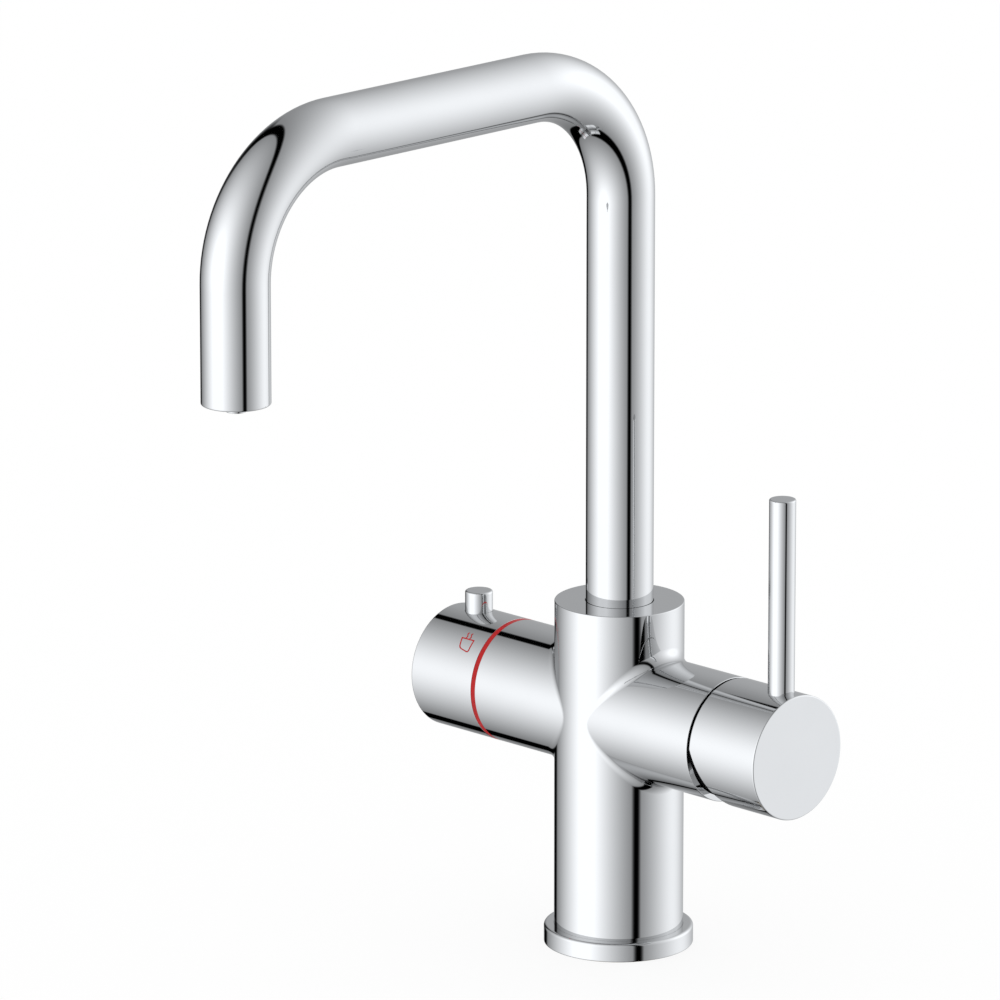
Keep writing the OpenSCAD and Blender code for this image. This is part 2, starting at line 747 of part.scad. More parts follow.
// Fixed sleeve round the spindle. The push pin's foot runs in its slot; the slot's ends stop
// the knob at shut and at a quarter turn.
module lock_sleeve() {
  slot_half = 3.4;
  span = asin(slot_half / sleeve_r);
  flange_s = 49.05;
  flange_r = 14.6;
  color(white) boil_axis(flange_s) difference() {
    union() {
      ring(flange_r, 8.05, 2.4);
      ring(sleeve_r, sleeve_ir, web_s - 0.5 - flange_s);
    }
    // from the top (local +x) to the front; on this axis the front is local -y
    translate([0, 0, pin_s - flange_s - slot_half]) rotate(-90 - span)
      rotate_extrude(angle = 90 + 2 * span) translate([sleeve_ir - 1, 0])
        square([3, 2 * slot_half]);
  }
}

// Hollow knob with a splined hub, an end web and a guide for the push pin.
module boiling_knob() {
  cavity = web_s - knob_s;
  cavity_r = 20.5;
  knob_l = boil_knob_end - knob_s;
  bevel = 0.5;
  color(chrome) difference() {
    union() {
      boil_axis(knob_s) difference() {
        rotate_extrude() polygon([[0, 0], [branch_r, 0], [branch_r, knob_l - bevel],
          [branch_r - bevel, knob_l], [0, knob_l]]);
        translate([0, 0, -1]) cylinder(r = cavity_r, h = cavity + 1);
        // recess for the end cap
        translate([0, 0, web_end - knob_s]) cylinder(r = cap_r + 0.05, h = 10);
      }
      boil_axis(spline_s + 0.5) cylinder(r = 6.1, h = web_s - spline_s);
      translate([-pin_s, 0, branch_z + pin_floor - 1.4]) cylinder(r = guide_r, h = 8.6);
    }
    boil_axis(spline_s) cylinder(r = 4.02, h = 9);
    boil_axis(spline_s) cylinder(r = 2.2, h = 30);
    translate([-pin_s, 0, branch_z + pin_floor]) cylinder(r = push_r + 0.08, h = 20);
    translate([-pin_s, 0, branch_z + 8]) cylinder(r = pin_stem_r + 0.1, h = 20);
  }
}

module knob_screw() {
  color(steel) boil_axis(60) difference() {
    union() {
      cylinder(r = 1.6, h = web_end - 60);
      translate([0, 0, web_end - 60]) cylinder(r = 3.4, h = 1.5);
    }
    translate([0, 0, web_end - 59.2]) cylinder(r = hex_r, h = 4, $fn = 6);
  }
}

module knob_end_cap() {
  cap_s = web_end + 1.6;
  cap_t = boil_knob_end - cap_s;
  bevel = 0.3;
  color(chrome) boil_axis(cap_s) rotate_extrude() polygon([[0, 0], [cap_r, 0],
    [cap_r, cap_t - bevel], [cap_r - bevel, cap_t], [0, cap_t]]);
}

// Push pin: head, thin stem through the guide's floor, and the foot in the sleeve's slot.
module safety_pin() {
  bevel = 0.5;
  head_h = push_pin_top - branch_z - pin_shoulder;
  color(chrome) translate([-pin_s, 0, branch_z]) {
    translate([0, 0, pin_shoulder]) rotate_extrude() polygon([[0, 0], [push_r, 0],
      [push_r, head_h - bevel], [push_r - bevel, head_h], [0, head_h]]);
    translate([0, 0, foot_low]) cylinder(r = pin_stem_r, h = pin_shoulder - foot_low + 1);
    translate([0, 0, foot_low + 0.3]) cylinder(r = 2.6, h = 2.4);
  }
}

// Compression spring: a swept helix between the guide's floor and the pin's shoulder.
module safety_spring() {
  wire_r = 0.35;
  coil_r = 3.6;
  turns = 4;
  steps = 18;
  sides = 8;
  low = pin_floor + wire_r + 0.05;
  rise = pin_shoulder - pin_floor - 2 * wire_r - 0.1;
  n = turns * steps;
  points = [for (i = [0:n]) let (a = i * 360 / steps) for (k = [0:sides - 1])
    let (b = k * 360 / sides, r = coil_r + wire_r * cos(b))
      [r * cos(a), r * sin(a), low + rise * i / n + wire_r * sin(b)]];
  walls = [for (i = [0:n - 1]) for (k = [0:sides - 1]) let (m = (k + 1) % sides)
    each [[i * sides + k, i * sides + m, (i + 1) * sides + m],
      [i * sides + k, (i + 1) * sides + m, (i + 1) * sides + k]]];
  caps = [[for (k = [sides - 1:-1:0]) k], [for (k = [0:sides - 1]) n * sides + k]];
  color(steel) translate([-pin_s, 0, branch_z])
    polyhedron(points = points, faces = concat([for (f = walls) [f[2], f[1], f[0]]],
      [for (c = caps) [for (j = [sides - 1:-1:0]) c[j]]]));
}

body();
base_ring();
base_seal();
threaded_shank();
rubber_washer();
steel_washer();
back_nut();
spout_retaining_screw();
spout_tube();
spout_ferrule();
spout_o_rings();
spout_slide_ring();
inner_boiling_tube();
boiling_tube_seal();
aerator_housing();
aerator_screen();
aerator_seal();
boiling_nozzle();
cartridge_base();
cartridge_seals();
cartridge_body();
fixed_ceramic_disc();
moving_ceramic_disc();
disc_driver();
cartridge_carrier();
pivot_pin();
cartridge_stem();
cartridge_nut();
dome_cover();
mixer_knob();
lever_rod();
knob_grub_screw();
knob_plug();
red_ring();
valve_seat_seal();
valve_body();
valve_thread_seal();
fixed_valve_disc();
moving_valve_disc();
valve_spindle();
spindle_o_ring();
spindle_circlip();
lock_sleeve();
boiling_knob();
knob_screw();
knob_end_cap();
safety_pin();
safety_spring();
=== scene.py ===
import json
import math

import bmesh
import bpy
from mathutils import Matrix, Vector
from mathutils.kdtree import KDTree


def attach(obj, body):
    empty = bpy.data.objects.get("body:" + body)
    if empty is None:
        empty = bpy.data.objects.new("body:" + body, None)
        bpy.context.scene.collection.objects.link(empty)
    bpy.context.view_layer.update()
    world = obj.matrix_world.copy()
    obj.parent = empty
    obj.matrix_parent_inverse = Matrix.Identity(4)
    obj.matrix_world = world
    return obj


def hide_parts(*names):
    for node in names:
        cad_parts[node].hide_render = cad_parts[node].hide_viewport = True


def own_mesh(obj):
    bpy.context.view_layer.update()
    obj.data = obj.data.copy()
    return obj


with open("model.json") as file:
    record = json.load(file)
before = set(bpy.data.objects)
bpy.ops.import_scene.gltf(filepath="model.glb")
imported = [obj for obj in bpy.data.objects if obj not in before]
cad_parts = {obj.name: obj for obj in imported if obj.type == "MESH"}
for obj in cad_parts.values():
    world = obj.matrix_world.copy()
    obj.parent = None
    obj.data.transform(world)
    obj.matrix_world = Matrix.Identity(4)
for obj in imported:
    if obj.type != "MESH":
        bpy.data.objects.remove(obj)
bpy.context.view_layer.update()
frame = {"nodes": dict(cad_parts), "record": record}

bl_info = {
    "name": "Boiling water tap dressing",
    "version": (1, 0, 0),
    "blender": (4, 5, 0),
    "location": "3D View > Sidebar > Tap",
    "description": "Finished chrome, plastic and rubber pieces of a three-in-one kitchen tap",
    "category": "Object",
}

MM = 0.001
TOUCH = 0.001 * MM  # points closer than this are one point
ROWS = 4  # rows of faces on a rounded edge
WIDE, ROUND, SLIM, HOLE = 128, 96, 64, 48  # sides of wide, common and slim pieces and holes
COLUMN, SPOUT, MIXER, BOILING, PIN = (
    "column", "spout", "mixer_handle", "boiling_handle", "push_pin")


# ---- sizes and colours ----

def length(name, description, default):
    return bpy.props.FloatProperty(
        name=name, description=description, default=default, min=0.0, precision=5,
        subtype="DISTANCE", unit="LENGTH")


def angle(name, description, degrees):
    return bpy.props.FloatProperty(
        name=name, description=description, default=math.radians(degrees),
        subtype="ANGLE", unit="ROTATION")


def colour(name, description, default):
    return bpy.props.FloatVectorProperty(
        name=name, description=description, default=default, size=3, min=0.0, max=1.0,
        subtype="COLOR")


def level(name, description, default):
    return bpy.props.FloatProperty(
        name=name, description=description, default=default, min=0.0, max=2.0,
        subtype="FACTOR")


class TapSizes(bpy.types.PropertyGroup):
    """Sizes of the tap's visible pieces"""
    column_r: length("Column radius", "Radius of the column", 24 * MM)
    column_top: length("Column top", "Height of the column's flat top", 131.4 * MM)
    foot_r: length("Foot ring radius", "Radius of the foot ring", 27.75 * MM)
    foot_h: length("Foot ring height", "Height of the foot ring", 7 * MM)
    branch_r: length("Branch radius", "Radius of both branches and knobs", 23.25 * MM)
    branch_z: length("Branch height", "Height of the branches' axis", 89.6 * MM)
    mixer_end: length("Mixer branch end", "Reach of the mixer branch", 56.9 * MM)
    boil_end: length("Boiling branch end", "Reach of the boiling-water branch", 52.3 * MM)
    mixer_fillet: length("Mixer fillet", "Fillet between column and mixer branch", 4.5 * MM)
    boil_fillet: length("Boiling fillet", "Fillet between column and boiling branch", 4.5 * MM)
    tube_r: length("Spout radius", "Outer radius of the spout tube", 12.5 * MM)
    tube_wall: length("Spout wall", "Wall of the spout tube", 1.5 * MM)
    reach: length("Spout reach", "Distance from the column's axis to the outlet", 193.5 * MM)
    run_z: length("Run height", "Height of the level run's centre line", 331.5 * MM)
    outlet_z: length("Outlet height", "Height of the outlet's rim", 241.3 * MM)
    bend_r: length("Bend radius", "Radius of both bends on the centre line", 47 * MM)
    nozzle_r: length("Nozzle radius", "Radius of the boiling-water nozzle's tip", 3.7 * MM)
    nozzle_drop: length("Nozzle drop", "Reach of the nozzle's tip below the rim", 2.8 * MM)
    knob_x: length("Mixer knob start", "Inner end of the mixer knob", 58.1 * MM)
    knob_end: length("Mixer knob end", "Outer face of the mixer knob", 90.3 * MM)
    pivot_x: length("Tilt axis", "Distance of the mixer knob's tilt axis", 50 * MM)
    cut_slant: angle("Knob cut", "Slant of the mixer knob's lower cut", 22)
    cut_rise: length("Cut rise", "Start of the cut above the knob's axis", 2 * MM)
    dome_r: length("Dome radius", "Radius of the glossy dome in the knob", 21 * MM)
    lever_r: length("Lever radius", "Radius of the pin lever", 4.9 * MM)
    lever_x: length("Lever place", "Distance of the lever from the column's axis", 82.1 * MM)
    lever_top: length("Lever top", "Height of the lever's tip", 185.4 * MM)
    ring_w: length("Red ring width", "Width of the red ring", 2.1 * MM)
    boil_knob: length("Boiling knob start", "Inner end of the boiling-water knob", 54.52 * MM)
    boil_knob_end: length("Boiling knob end", "Outer end of the boiling-water knob", 86 * MM)
    pin_s: length("Push pin place", "Distance of the push pin from the column's axis", 73.35 * MM)
    pin_r: length("Push pin radius", "Radius of the push pin's head", 5.2 * MM)
    pin_top: length("Push pin top", "Height of the push pin's top", 120.6 * MM)
    shank_r: length("Shank radius", "Outer radius of the threaded shank", 16 * MM)
    shank_bore: length("Shank bore", "Radius of the shank's bore", 13.5 * MM)
    shank_l: length("Shank length", "Length of the shank below the worktop's top", 75 * MM)
    shank_top: length("Shank top", "Reach of the shank up into the column", 18 * MM)
    pitch: length("Thread pitch", "Pitch of the shank's thread", 1.5 * MM)
    worktop: length("Worktop", "Thickness of the clamped worktop", 40 * MM)


class TapColours(bpy.types.PropertyGroup):
    """Colours of the tap's finishes"""
    chrome: colour("Chrome", "Bright chrome plating", (0.650, 0.655, 0.660))
    brass: colour("Brass", "Turned brass", (0.72, 0.53, 0.25))
    steel: colour("Steel", "Stainless steel", (0.60, 0.60, 0.61))
    # painted shade: the dome's glossy black also stands in for the shade deep in the mixer knob's
    # gap
    black_plastic: colour("Black plastic", "Glossy black plastic", (0.010, 0.010, 0.011))
    rubber: colour("Rubber", "Black sealing rubber", (0.022, 0.022, 0.024))
    red: colour("Red", "Red of the ring and the hot-cup mark", (0.50, 0.014, 0.016))
    ceramic: colour("Ceramic", "Ground ceramic discs", (0.86, 0.85, 0.81))
    white_plastic: colour("White plastic", "Bearing plastic", (0.80, 0.80, 0.77))
    grey_plastic: colour("Grey plastic", "Moulded cartridge plastic", (0.34, 0.35, 0.36))
    floor: colour("Floor", "Pale floor", (1.0, 1.0, 1.0))


def sizes():
    return bpy.context.scene.tap_sizes


def colours():
    return bpy.context.scene.tap_colours


# ---- work at the bench: small steps that every piece uses ----

def put_down():
    """Leaves edit mode and selects nothing."""
    if bpy.context.object and bpy.context.object.mode != "OBJECT":
        bpy.ops.object.mode_set(mode="OBJECT")
    bpy.ops.object.select_all(action="DESELECT")


def pick(piece):
    put_down()
    piece.select_set(True)
    bpy.context.view_layer.objects.active = piece


def choose(piece, test):
    """In edit mode, selects the vertices for which test(place) holds, and what they bound."""
    mesh = bmesh.from_edit_mesh(piece.data)
    bpy.ops.mesh.select_mode(type="VERT")
    bpy.ops.mesh.select_all(action="DESELECT")
    for v in mesh.verts:
        v.select = bool(test(v.co))
    mesh.select_flush(True)
    bmesh.update_edit_mesh(piece.data)


def open_up():
    """Goes into edit mode with everything selected."""
    bpy.ops.object.mode_set(mode="EDIT")
    bpy.ops.mesh.select_all(action="SELECT")


def drawn_circle(name, sides, radius, height):
    """A level circle, open in edit mode."""
    put_down()
    bpy.ops.mesh.primitive_circle_add(vertices=sides, radius=radius, location=(0, 0, height))
    piece = bpy.context.object
    piece.name = name
    bpy.ops.object.transform_apply(location=True)
    open_up()
    return piece


def sheet(wide, tall):
    """A flat sheet, open in edit mode."""
    put_down()
    bpy.ops.mesh.primitive_plane_add(size=1)
    piece = bpy.context.object
    open_up()
    bpy.ops.transform.resize(value=(wide, tall, 1), center_override=(0, 0, 0))
    return piece


def go(x, y, z):
    """Extrudes what is selected and moves it on."""
    bpy.ops.mesh.extrude_region_move(TRANSFORM_OT_translate={"value": (x, y, z)})


def softened(profile, hold=0.25 * MM):
    """Rounds the corners of a profile that have a third number, and puts a holding ring just
    beyond each end of the round."""
    out = []
    for i, corner in enumerate(profile):
        here = Vector(corner[:2])
        if len(corner) < 3:
            out.append(tuple(here))
            continue
        back = (Vector(profile[i - 1][:2]) - here).normalized()
        ahead = (Vector(profile[i + 1][:2]) - here).normalized()
        half = back.angle(ahead) / 2
        tangent = corner[2] / math.tan(half)
        centre = here + (back + ahead).normalized() * corner[2] / math.sin(half)
        start, end = here + back * tangent - centre, here + ahead * tangent - centre
        first = math.atan2(start.y, start.x)
        sweep = (math.atan2(end.y, end.x) - first + math.pi) % math.tau - math.pi
        out.append(tuple(here + back * (tangent + hold)))
        for k in range(ROWS + 1):
            a = first + sweep * k / ROWS
            out.append(tuple(centre + Vector((math.cos(a), math.sin(a))) * corner[2]))
        out.append(tuple(here + ahead * (tangent + hold)))
    return out


def turned(name, profile, sides=ROUND, seat=(0, 0, 0), lean=(0, 0, 0), ring=False):
    """A turned piece. A circle is extruded and scaled through the profile's pairs of radius
    and height, then both ends are filled, or joined if the piece is a ring."""
    r, h = profile[0]
    piece = drawn_circle(name, sides, r, h)
    for r1, h1 in profile[1:]:
        go(0, 0, h1 - h)
        bpy.ops.transform.resize(value=(r1 / r, r1 / r, 1), center_override=(0, 0, h1))
        r, h = r1, h1
    if not ring:
        bpy.ops.mesh.edge_face_add()
        r, h = profile[0]
        choose(piece, lambda v: math.hypot(math.hypot(v.x, v.y) - r, v.z - h) < TOUCH)
        bpy.ops.mesh.edge_face_add()
    finish_mesh()
    piece.rotation_euler, piece.location = lean, seat
    bpy.ops.object.transform_apply(location=True, rotation=True)
    return piece


def finish_mesh():
    """Merges doubles and turns all faces outwards, then leaves edit mode."""
    bpy.ops.mesh.select_all(action="SELECT")
    bpy.ops.mesh.remove_doubles(threshold=TOUCH)
    bpy.ops.mesh.normals_make_consistent(inside=False)
    bpy.ops.object.mode_set(mode="OBJECT")


def polished(piece, degrees=32):
    """Smooth shading that stays crisp at the edges."""
    pick(piece)
    bpy.ops.object.shade_smooth_by_angle(angle=math.radians(degrees))
    return piece


def modified(piece, kind, **settings):
    """Adds a modifier and applies it."""
    pick(piece)
    bpy.ops.object.modifier_add(type=kind)
    modifier = piece.modifiers[-1]
    for key, value in settings.items():
        setattr(modifier, key, value)
    bpy.ops.object.modifier_apply(modifier=modifier.name)
    return piece


def cut(piece, tool, operation="DIFFERENCE"):
    """Cuts a tool out of a piece, or keeps what both share, and throws the tool away."""
    modified(piece, "BOOLEAN", object=tool, operation=operation, solver="EXACT")
    bpy.data.objects.remove(tool)
    return piece


def joined(name, *pieces):
    """Several shells of one solid piece made one object."""
    put_down()
    for piece in pieces:
        piece.select_set(True)
    bpy.context.view_layer.objects.active = pieces[0]
    bpy.ops.object.join()
    pieces[0].name = name
    return pieces[0]


def fit(piece, body, slot, *nodes):
    """Gives a piece its finish, its body and the CAD nodes that it stands for."""
    piece.data.materials.clear()
    piece.data.materials.append(finish(slot))
    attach(piece, body)
    if nodes:
        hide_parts(*nodes)
    return piece


# ---- finishes ----

class Wire:
    """A socket that takes part in sums: each operator adds a Math node."""

    def __init__(self, tree, socket):
        self.tree, self.socket = tree, socket

    def math(self, operation, *others):
        return add(self.tree, "Math", {"operation": operation}, self, *others)[0]

    def __add__(self, other):
        return self.math("ADD", other)

    __radd__ = __add__

    def __sub__(self, other):
        return self.math("SUBTRACT", other)

    def __rsub__(self, other):
        return add(self.tree, "Math", {"operation": "SUBTRACT"}, other, self)[0]

    def __mul__(self, other):
        return self.math("MULTIPLY", other)

    __rmul__ = __mul__

    def ramp(self, start, end):
        """0 below start, 1 beyond end, and a soft step between them."""
        settings = {"interpolation_type": "SMOOTHSTEP", "clamp": True}
        return add(self.tree, "MapRange", settings, self, start, end, 0.0, 1.0)[0]

    def mix(self, low, high):
        """A colour between two, by this socket's value."""
        return add(self.tree, "Mix", {"data_type": "RGBA"}, Factor=self, A=low, B=high)[2]


def add(tree, kind, settings=None, *values, **named):
    """Adds a node: its settings first, then the values or links of its sockets, in their
    order or by name. Returns its outputs as wires."""
    node = tree.nodes.new("ShaderNode" + kind)
    for key, value in (settings or {}).items():
        setattr(node, key, value)
    live = [s for s in node.inputs if s.enabled]
    pairs = list(zip(live, values))
    pairs += [(next(s for s in live if s.name == key.replace("_", " ")), value)
              for key, value in named.items()]
    for socket, value in pairs:
        if isinstance(value, Wire):
            tree.links.new(value.socket, socket)
        elif socket.type == "RGBA":
            socket.default_value = (*value, 1.0) if len(value) == 3 else value
        else:
            socket.default_value = value
    return [Wire(tree, out) for out in node.outputs]


def place(tree):
    """The point on the piece, in metres: the Object output."""
    return add(tree, "TexCoord")[3]


def ray_kind(tree, name):
    """1 for rays of that kind, such as Is Camera Ray, and 0 for all others."""
    return next(w for w in add(tree, "LightPath") if w.socket.name == name)


def grain(tree, at, size, detail=3.0, roughness=0.5):
    """Noise with features of about that size in metres."""
    return add(tree, "TexNoise", {}, Vector=at, Scale=1.0 / size, Detail=detail,
               Roughness=roughness)[0]


def dim(tint, share):
    return tuple(c * share for c in tint)


def plated(tree, tint):
    """Polished chrome: a faint haze left by wiping, and hardly any tint in the metal."""
    at = place(tree)
    haze = grain(tree, at, 30 * MM).ramp(0.35, 0.75)
    fine = grain(tree, at, 0.6 * MM, 2.0)
    return {"Base Color": haze.mix(tint, dim(tint, 0.985)), "Metallic": 1.0,
            "Specular Tint": (0.75, 0.75, 0.75, 1.0),
            "Roughness": 0.022 + 0.016 * haze + 0.008 * fine}


def turned_metal(tree, tint, rough, groove):
    """Machined metal: fine rings of the lathe tool and a slightly uneven tarnish."""
    at = place(tree)
    cloud = grain(tree, at, 9 * MM).ramp(0.3, 0.7)
    rings = add(tree, "TexWave", {"wave_type": "BANDS", "bands_direction": "DIAGONAL"},
                Vector=at, Scale=1.0 / groove, Distortion=0.4, Detail=2.0)[1]
    bump = add(tree, "Bump", {}, Strength=0.12, Distance=0.02 * MM, Height=rings)[0]
    return {"Base Color": cloud.mix(tint, dim(tint, 0.82)), "Metallic": 1.0,
            "Roughness": rough + 0.10 * cloud + 0.05 * rings, "Normal": bump}


def moulded(tree, tint, rough, depth, coat=0.0):
    """Moulded plastic, rubber or ceramic: fine surface grain and slow changes of shade."""
    at = place(tree)
    cloud = grain(tree, at, 7 * MM)
    fine = grain(tree, at, 0.25 * MM, 4.0, 0.6)
    bump = add(tree, "Bump", {}, Strength=0.3, Distance=depth, Height=fine)[0]
    return {"Base Color": cloud.ramp(0.3, 0.7).mix(tint, dim(tint, 0.88)), "Metallic": 0.0,
            "Roughness": rough + 0.08 * fine, "Coat Weight": coat, "Coat Roughness": 0.06,
            "Normal": bump}


def enamel(tree, tint):
    """Glossy red plastic of the ring and mark, a little deeper where the dye is dense."""
    at = place(tree)
    dye = grain(tree, at, 5 * MM).ramp(0.3, 0.7)
    fine = grain(tree, at, 0.3 * MM)
    bump = add(tree, "Bump", {}, Strength=0.1, Distance=0.01 * MM, Height=fine)[0]
    return {"Base Color": dye.mix(tint, dim(tint, 0.90)), "Roughness": 0.30 + 0.06 * fine,
            "Specular IOR Level": 0.15, "Normal": bump}


def recipes():
    c = colours()
    return {
        "chrome": lambda t: plated(t, c.chrome),
        "brass": lambda t: turned_metal(t, c.brass, 0.20, 0.5 * MM),
        "steel": lambda t: turned_metal(t, c.steel, 0.24, 0.35 * MM),
        "rubber": lambda t: moulded(t, c.rubber, 0.55, 0.03 * MM),
        "ceramic": lambda t: moulded(t, c.ceramic, 0.16, 0.004 * MM, 0.2),
        "white_plastic": lambda t: moulded(t, c.white_plastic, 0.38, 0.015 * MM),
        # painted shade: on the dome, this black also stands in for the shade in the mixer knob's
        # gap
        "black_plastic": lambda t: moulded(t, c.black_plastic, 0.12, 0.002 * MM, 0.1),
        "grey_plastic": lambda t: moulded(t, c.grey_plastic, 0.46, 0.02 * MM),
        "red_band": lambda t: enamel(t, c.red),
    }


def finish(slot):
    """The material of a slot, made when it is first asked for."""
    name = "finish_" + slot
    if name in bpy.data.materials:
        return bpy.data.materials[name]
    material = bpy.data.materials.new(name)
    material.use_nodes = True
    tree = material.node_tree
    shader = tree.nodes["Principled BSDF"]
    for key, value in recipes()[slot](tree).items():
        socket = shader.inputs[key]
        if isinstance(value, Wire):
            tree.links.new(value.socket, socket)
        else:
            socket.default_value = value
    return material


# ---- column ----

def ball_centre(s, turn, fillet):
    """Centre of a ball that rolls between column and branch, at an angle from the top."""
    far = s.branch_r + fillet
    y, z = far * math.sin(turn), far * math.cos(turn)
    return Vector((math.sqrt((s.column_r + fillet) ** 2 - y * y), y, z))


def saddle_rings(s, fillet, turns):
    """The rings of the fillet, from the column's surface to the branch's, with normals."""
    rings, steps = [], 10
    for k in range(steps + 1):
        ring = []
        for turn in turns:
            c = ball_centre(s, turn, fillet)
            on_column = Vector((-c.x, -c.y, 0)) / (s.column_r + fillet)
            on_branch = Vector((0, -c.y, -c.z)) / (s.branch_r + fillet)
            way = on_column.slerp(on_branch, k / steps)
            ring.append((c + way * fillet, -way))
        rings.append(ring)
    return rings


class Skin:
    """A mesh laid out in rows, which keeps the true normal of each corner.

    No hand tool rolls a ball between two round bars, so the column's skin is made here."""

    def __init__(self):
        self.mesh = bmesh.new()
        self.normals = {}

    def point(self, at, normal):
        v = self.mesh.verts.new(at)
        self.normals[v] = Vector(normal).normalized()
        return v

    def grow(self, last, pairs):
        """Adds a closed row of points and normals beside the last one, and returns it."""
        row = [self.point(at, normal) for at, normal in pairs]
        for i, corner in enumerate(row):
            j = (i + 1) % len(row)
            self.mesh.faces.new([last[i], last[j], row[j], corner])
        return row

    def round_over(self, last, place_of, r, end, edge):
        """Rounds the edge between a wall of radius r and its flat end, and returns the last
        row. place_of(i, radius, height, and both parts of the normal) gives point i."""
        for t in range(1, ROWS + 1):
            a = t * math.pi / 2 / ROWS
            c, n = math.cos(a), math.sin(a)
            last = self.grow(last, [place_of(i, r - edge + edge * c, end - edge + edge * n, c, n)
                                    for i in range(len(last))])
        return last

    def sink(self, last, place_of, r, end, steps):
        """Sinks a stepped bore from an opening of radius r. Each step is a pair of its radius
        and its floor. The walls get rows of their own, so that the edges stay sharp."""
        for radius, floor in steps:
            for corner in (((r + radius) / 2, end), (radius, end),
                           (radius, (end + floor) / 2), (radius, floor)):
                last = self.grow(last, [place_of(i, *corner, 0, 0) for i in range(len(last))])
            r, end = radius, floor
        self.mesh.faces.new(last)


QUARTER = 24  # points on a quarter turn of a branch
AROUND = 4 * QUARTER


def wall_lines(s):
    """The upright lines of the column's wall, in their order round it. Each has its azimuth,
    the height of a branch's opening above the axis there, and the side and place on the
    opening's rim. Between the openings the lines are evenly spaced."""
    widest, spacing = math.radians(8), math.radians(3.2)
    rims = []
    for side, fillet in ((1, s.mixer_fillet), (-1, s.boil_fillet)):
        k = (s.branch_r + fillet) / (s.column_r + fillet)
        for i in range(-QUARTER, QUARTER + 1):
            turn = i * math.pi / 2 / QUARTER
            azimuth = math.asin(k * math.sin(turn))
            half = (s.branch_r + fillet) * math.cos(turn) if abs(i) < QUARTER else 0.0
            rims.append((azimuth if side > 0 else math.pi - azimuth, half, (side, i)))
    rims.sort(key=lambda line: line[0] % math.tau)
    lines = []
    for here, ahead in zip(rims, rims[1:] + rims[:1]):
        lines.append(here)
        a = here[0] % math.tau
        gap = (ahead[0] % math.tau - a) % math.tau
        if gap > widest:
            count = round(gap / spacing)
            lines += [(a + gap * j / count, 0.0, None) for j in range(1, count)]
    return lines


def column_wall(skin, s, lines, foot, top):
    """The column's wall under and over the branches' openings. Returns a pair of point lists
    for each line, and the points under and over each place on the rims."""
    walls, rims = [], {}
    for azimuth, half, place_on_rim in lines:
        out = Vector((math.cos(azimuth), math.sin(azimuth), 0))

        def climb(start, end, rows, first=0):
            return [skin.point(out * s.column_r
                               + Vector((0, 0, start + (end - start) * t / rows)), out)
                    for t in range(first, rows + 1)]

        low = climb(foot, -half, 16)
        high = climb(half, top, 14) if half else low[-1:] + climb(half, top, 14, 1)
        walls.append((low, high))
        if place_on_rim:
            rims[place_on_rim] = (low[-1], high[0])
    for here, ahead in zip(walls, walls[1:] + walls[:1]):
        for one, other in zip(here, ahead):
            for k in range(len(one) - 1):
                skin.mesh.faces.new([one[k], other[k], other[k + 1], one[k + 1]])
    return walls, rims


def add_branch(skin, s, rims, side, fillet, end, edge, steps):
    """One branch: its fillet, its round bar, its rounded end and its stepped bore."""
    turns = [i * math.pi / 2 / QUARTER for i in range(AROUND)]

    def sideways(i, r, x, nr, nx):
        y, z = math.sin(turns[i]), math.cos(turns[i])
        return Vector((side * x, r * y, r * z)), Vector((side * nx, nr * y, nr * z))

    last = []
    for i in range(AROUND):
        upper = i <= QUARTER or i >= 3 * QUARTER
        place_on_rim = (i + QUARTER) % AROUND - QUARTER if upper else 2 * QUARTER - i
        under, over = rims[side, place_on_rim]
        last.append(over if upper else under)
    for ring in saddle_rings(s, fillet, turns)[1:]:
        last = skin.grow(last, [[Vector((side * v.x, v.y, v.z)) for v in pair] for pair in ring])
    starts = [ball_centre(s, turn, fillet).x for turn in turns]
    rows = 8
    for t in range(1, rows + 1):
        last = skin.grow(last, [
            sideways(i, s.branch_r, start + (end - edge - start) * t / rows, 1, 0)
            for i, start in enumerate(starts)])
    last = skin.round_over(last, sideways, s.branch_r, end, edge)
    skin.sink(last, sideways, s.branch_r - edge, end, steps)


def column_skin(s):
    """Column, both branches, the fillets between them, and their stepped bores. Heights are
    measured from the branches' axis."""
    skin, z0 = Skin(), s.branch_z
    top, foot, edge = s.column_top - z0, 2 * MM - z0, 0.3 * MM
    lines = wall_lines(s)
    walls, rims = column_wall(skin, s, lines, foot, top - edge)
    outs = [Vector((math.cos(line[0]), math.sin(line[0]), 0)) for line in lines]

    def upright(i, r, z, nr, nz):
        return outs[i] * r + Vector((0, 0, z)), outs[i] * nr + Vector((0, 0, nz))

    last = skin.round_over([high[-1] for low, high in walls], upright, s.column_r, top, edge)
    skin.sink(last, upright, s.column_r - edge, top,
              [(12.75 * MM, 101 * MM - z0), (4 * MM, 93.5 * MM - z0)])
    skin.sink([low[0] for low, high in walls], upright, s.column_r, foot,
              [(s.shank_r, s.shank_top - z0)])
    add_branch(skin, s, rims, 1, s.mixer_fillet, s.mixer_end, 0.3 * MM,
               [(s.dome_r + 0.1 * MM, s.pivot_x + 0.4 * MM), (20 * MM, 44.5 * MM),
                (17.4 * MM, 17.2 * MM)])
    add_branch(skin, s, rims, -1, s.boil_fillet, s.boil_end, 0.1 * MM,
               [(15 * MM, 44 * MM), (10.45 * MM, 34 * MM), (9.5 * MM, 17 * MM)])
    return skin


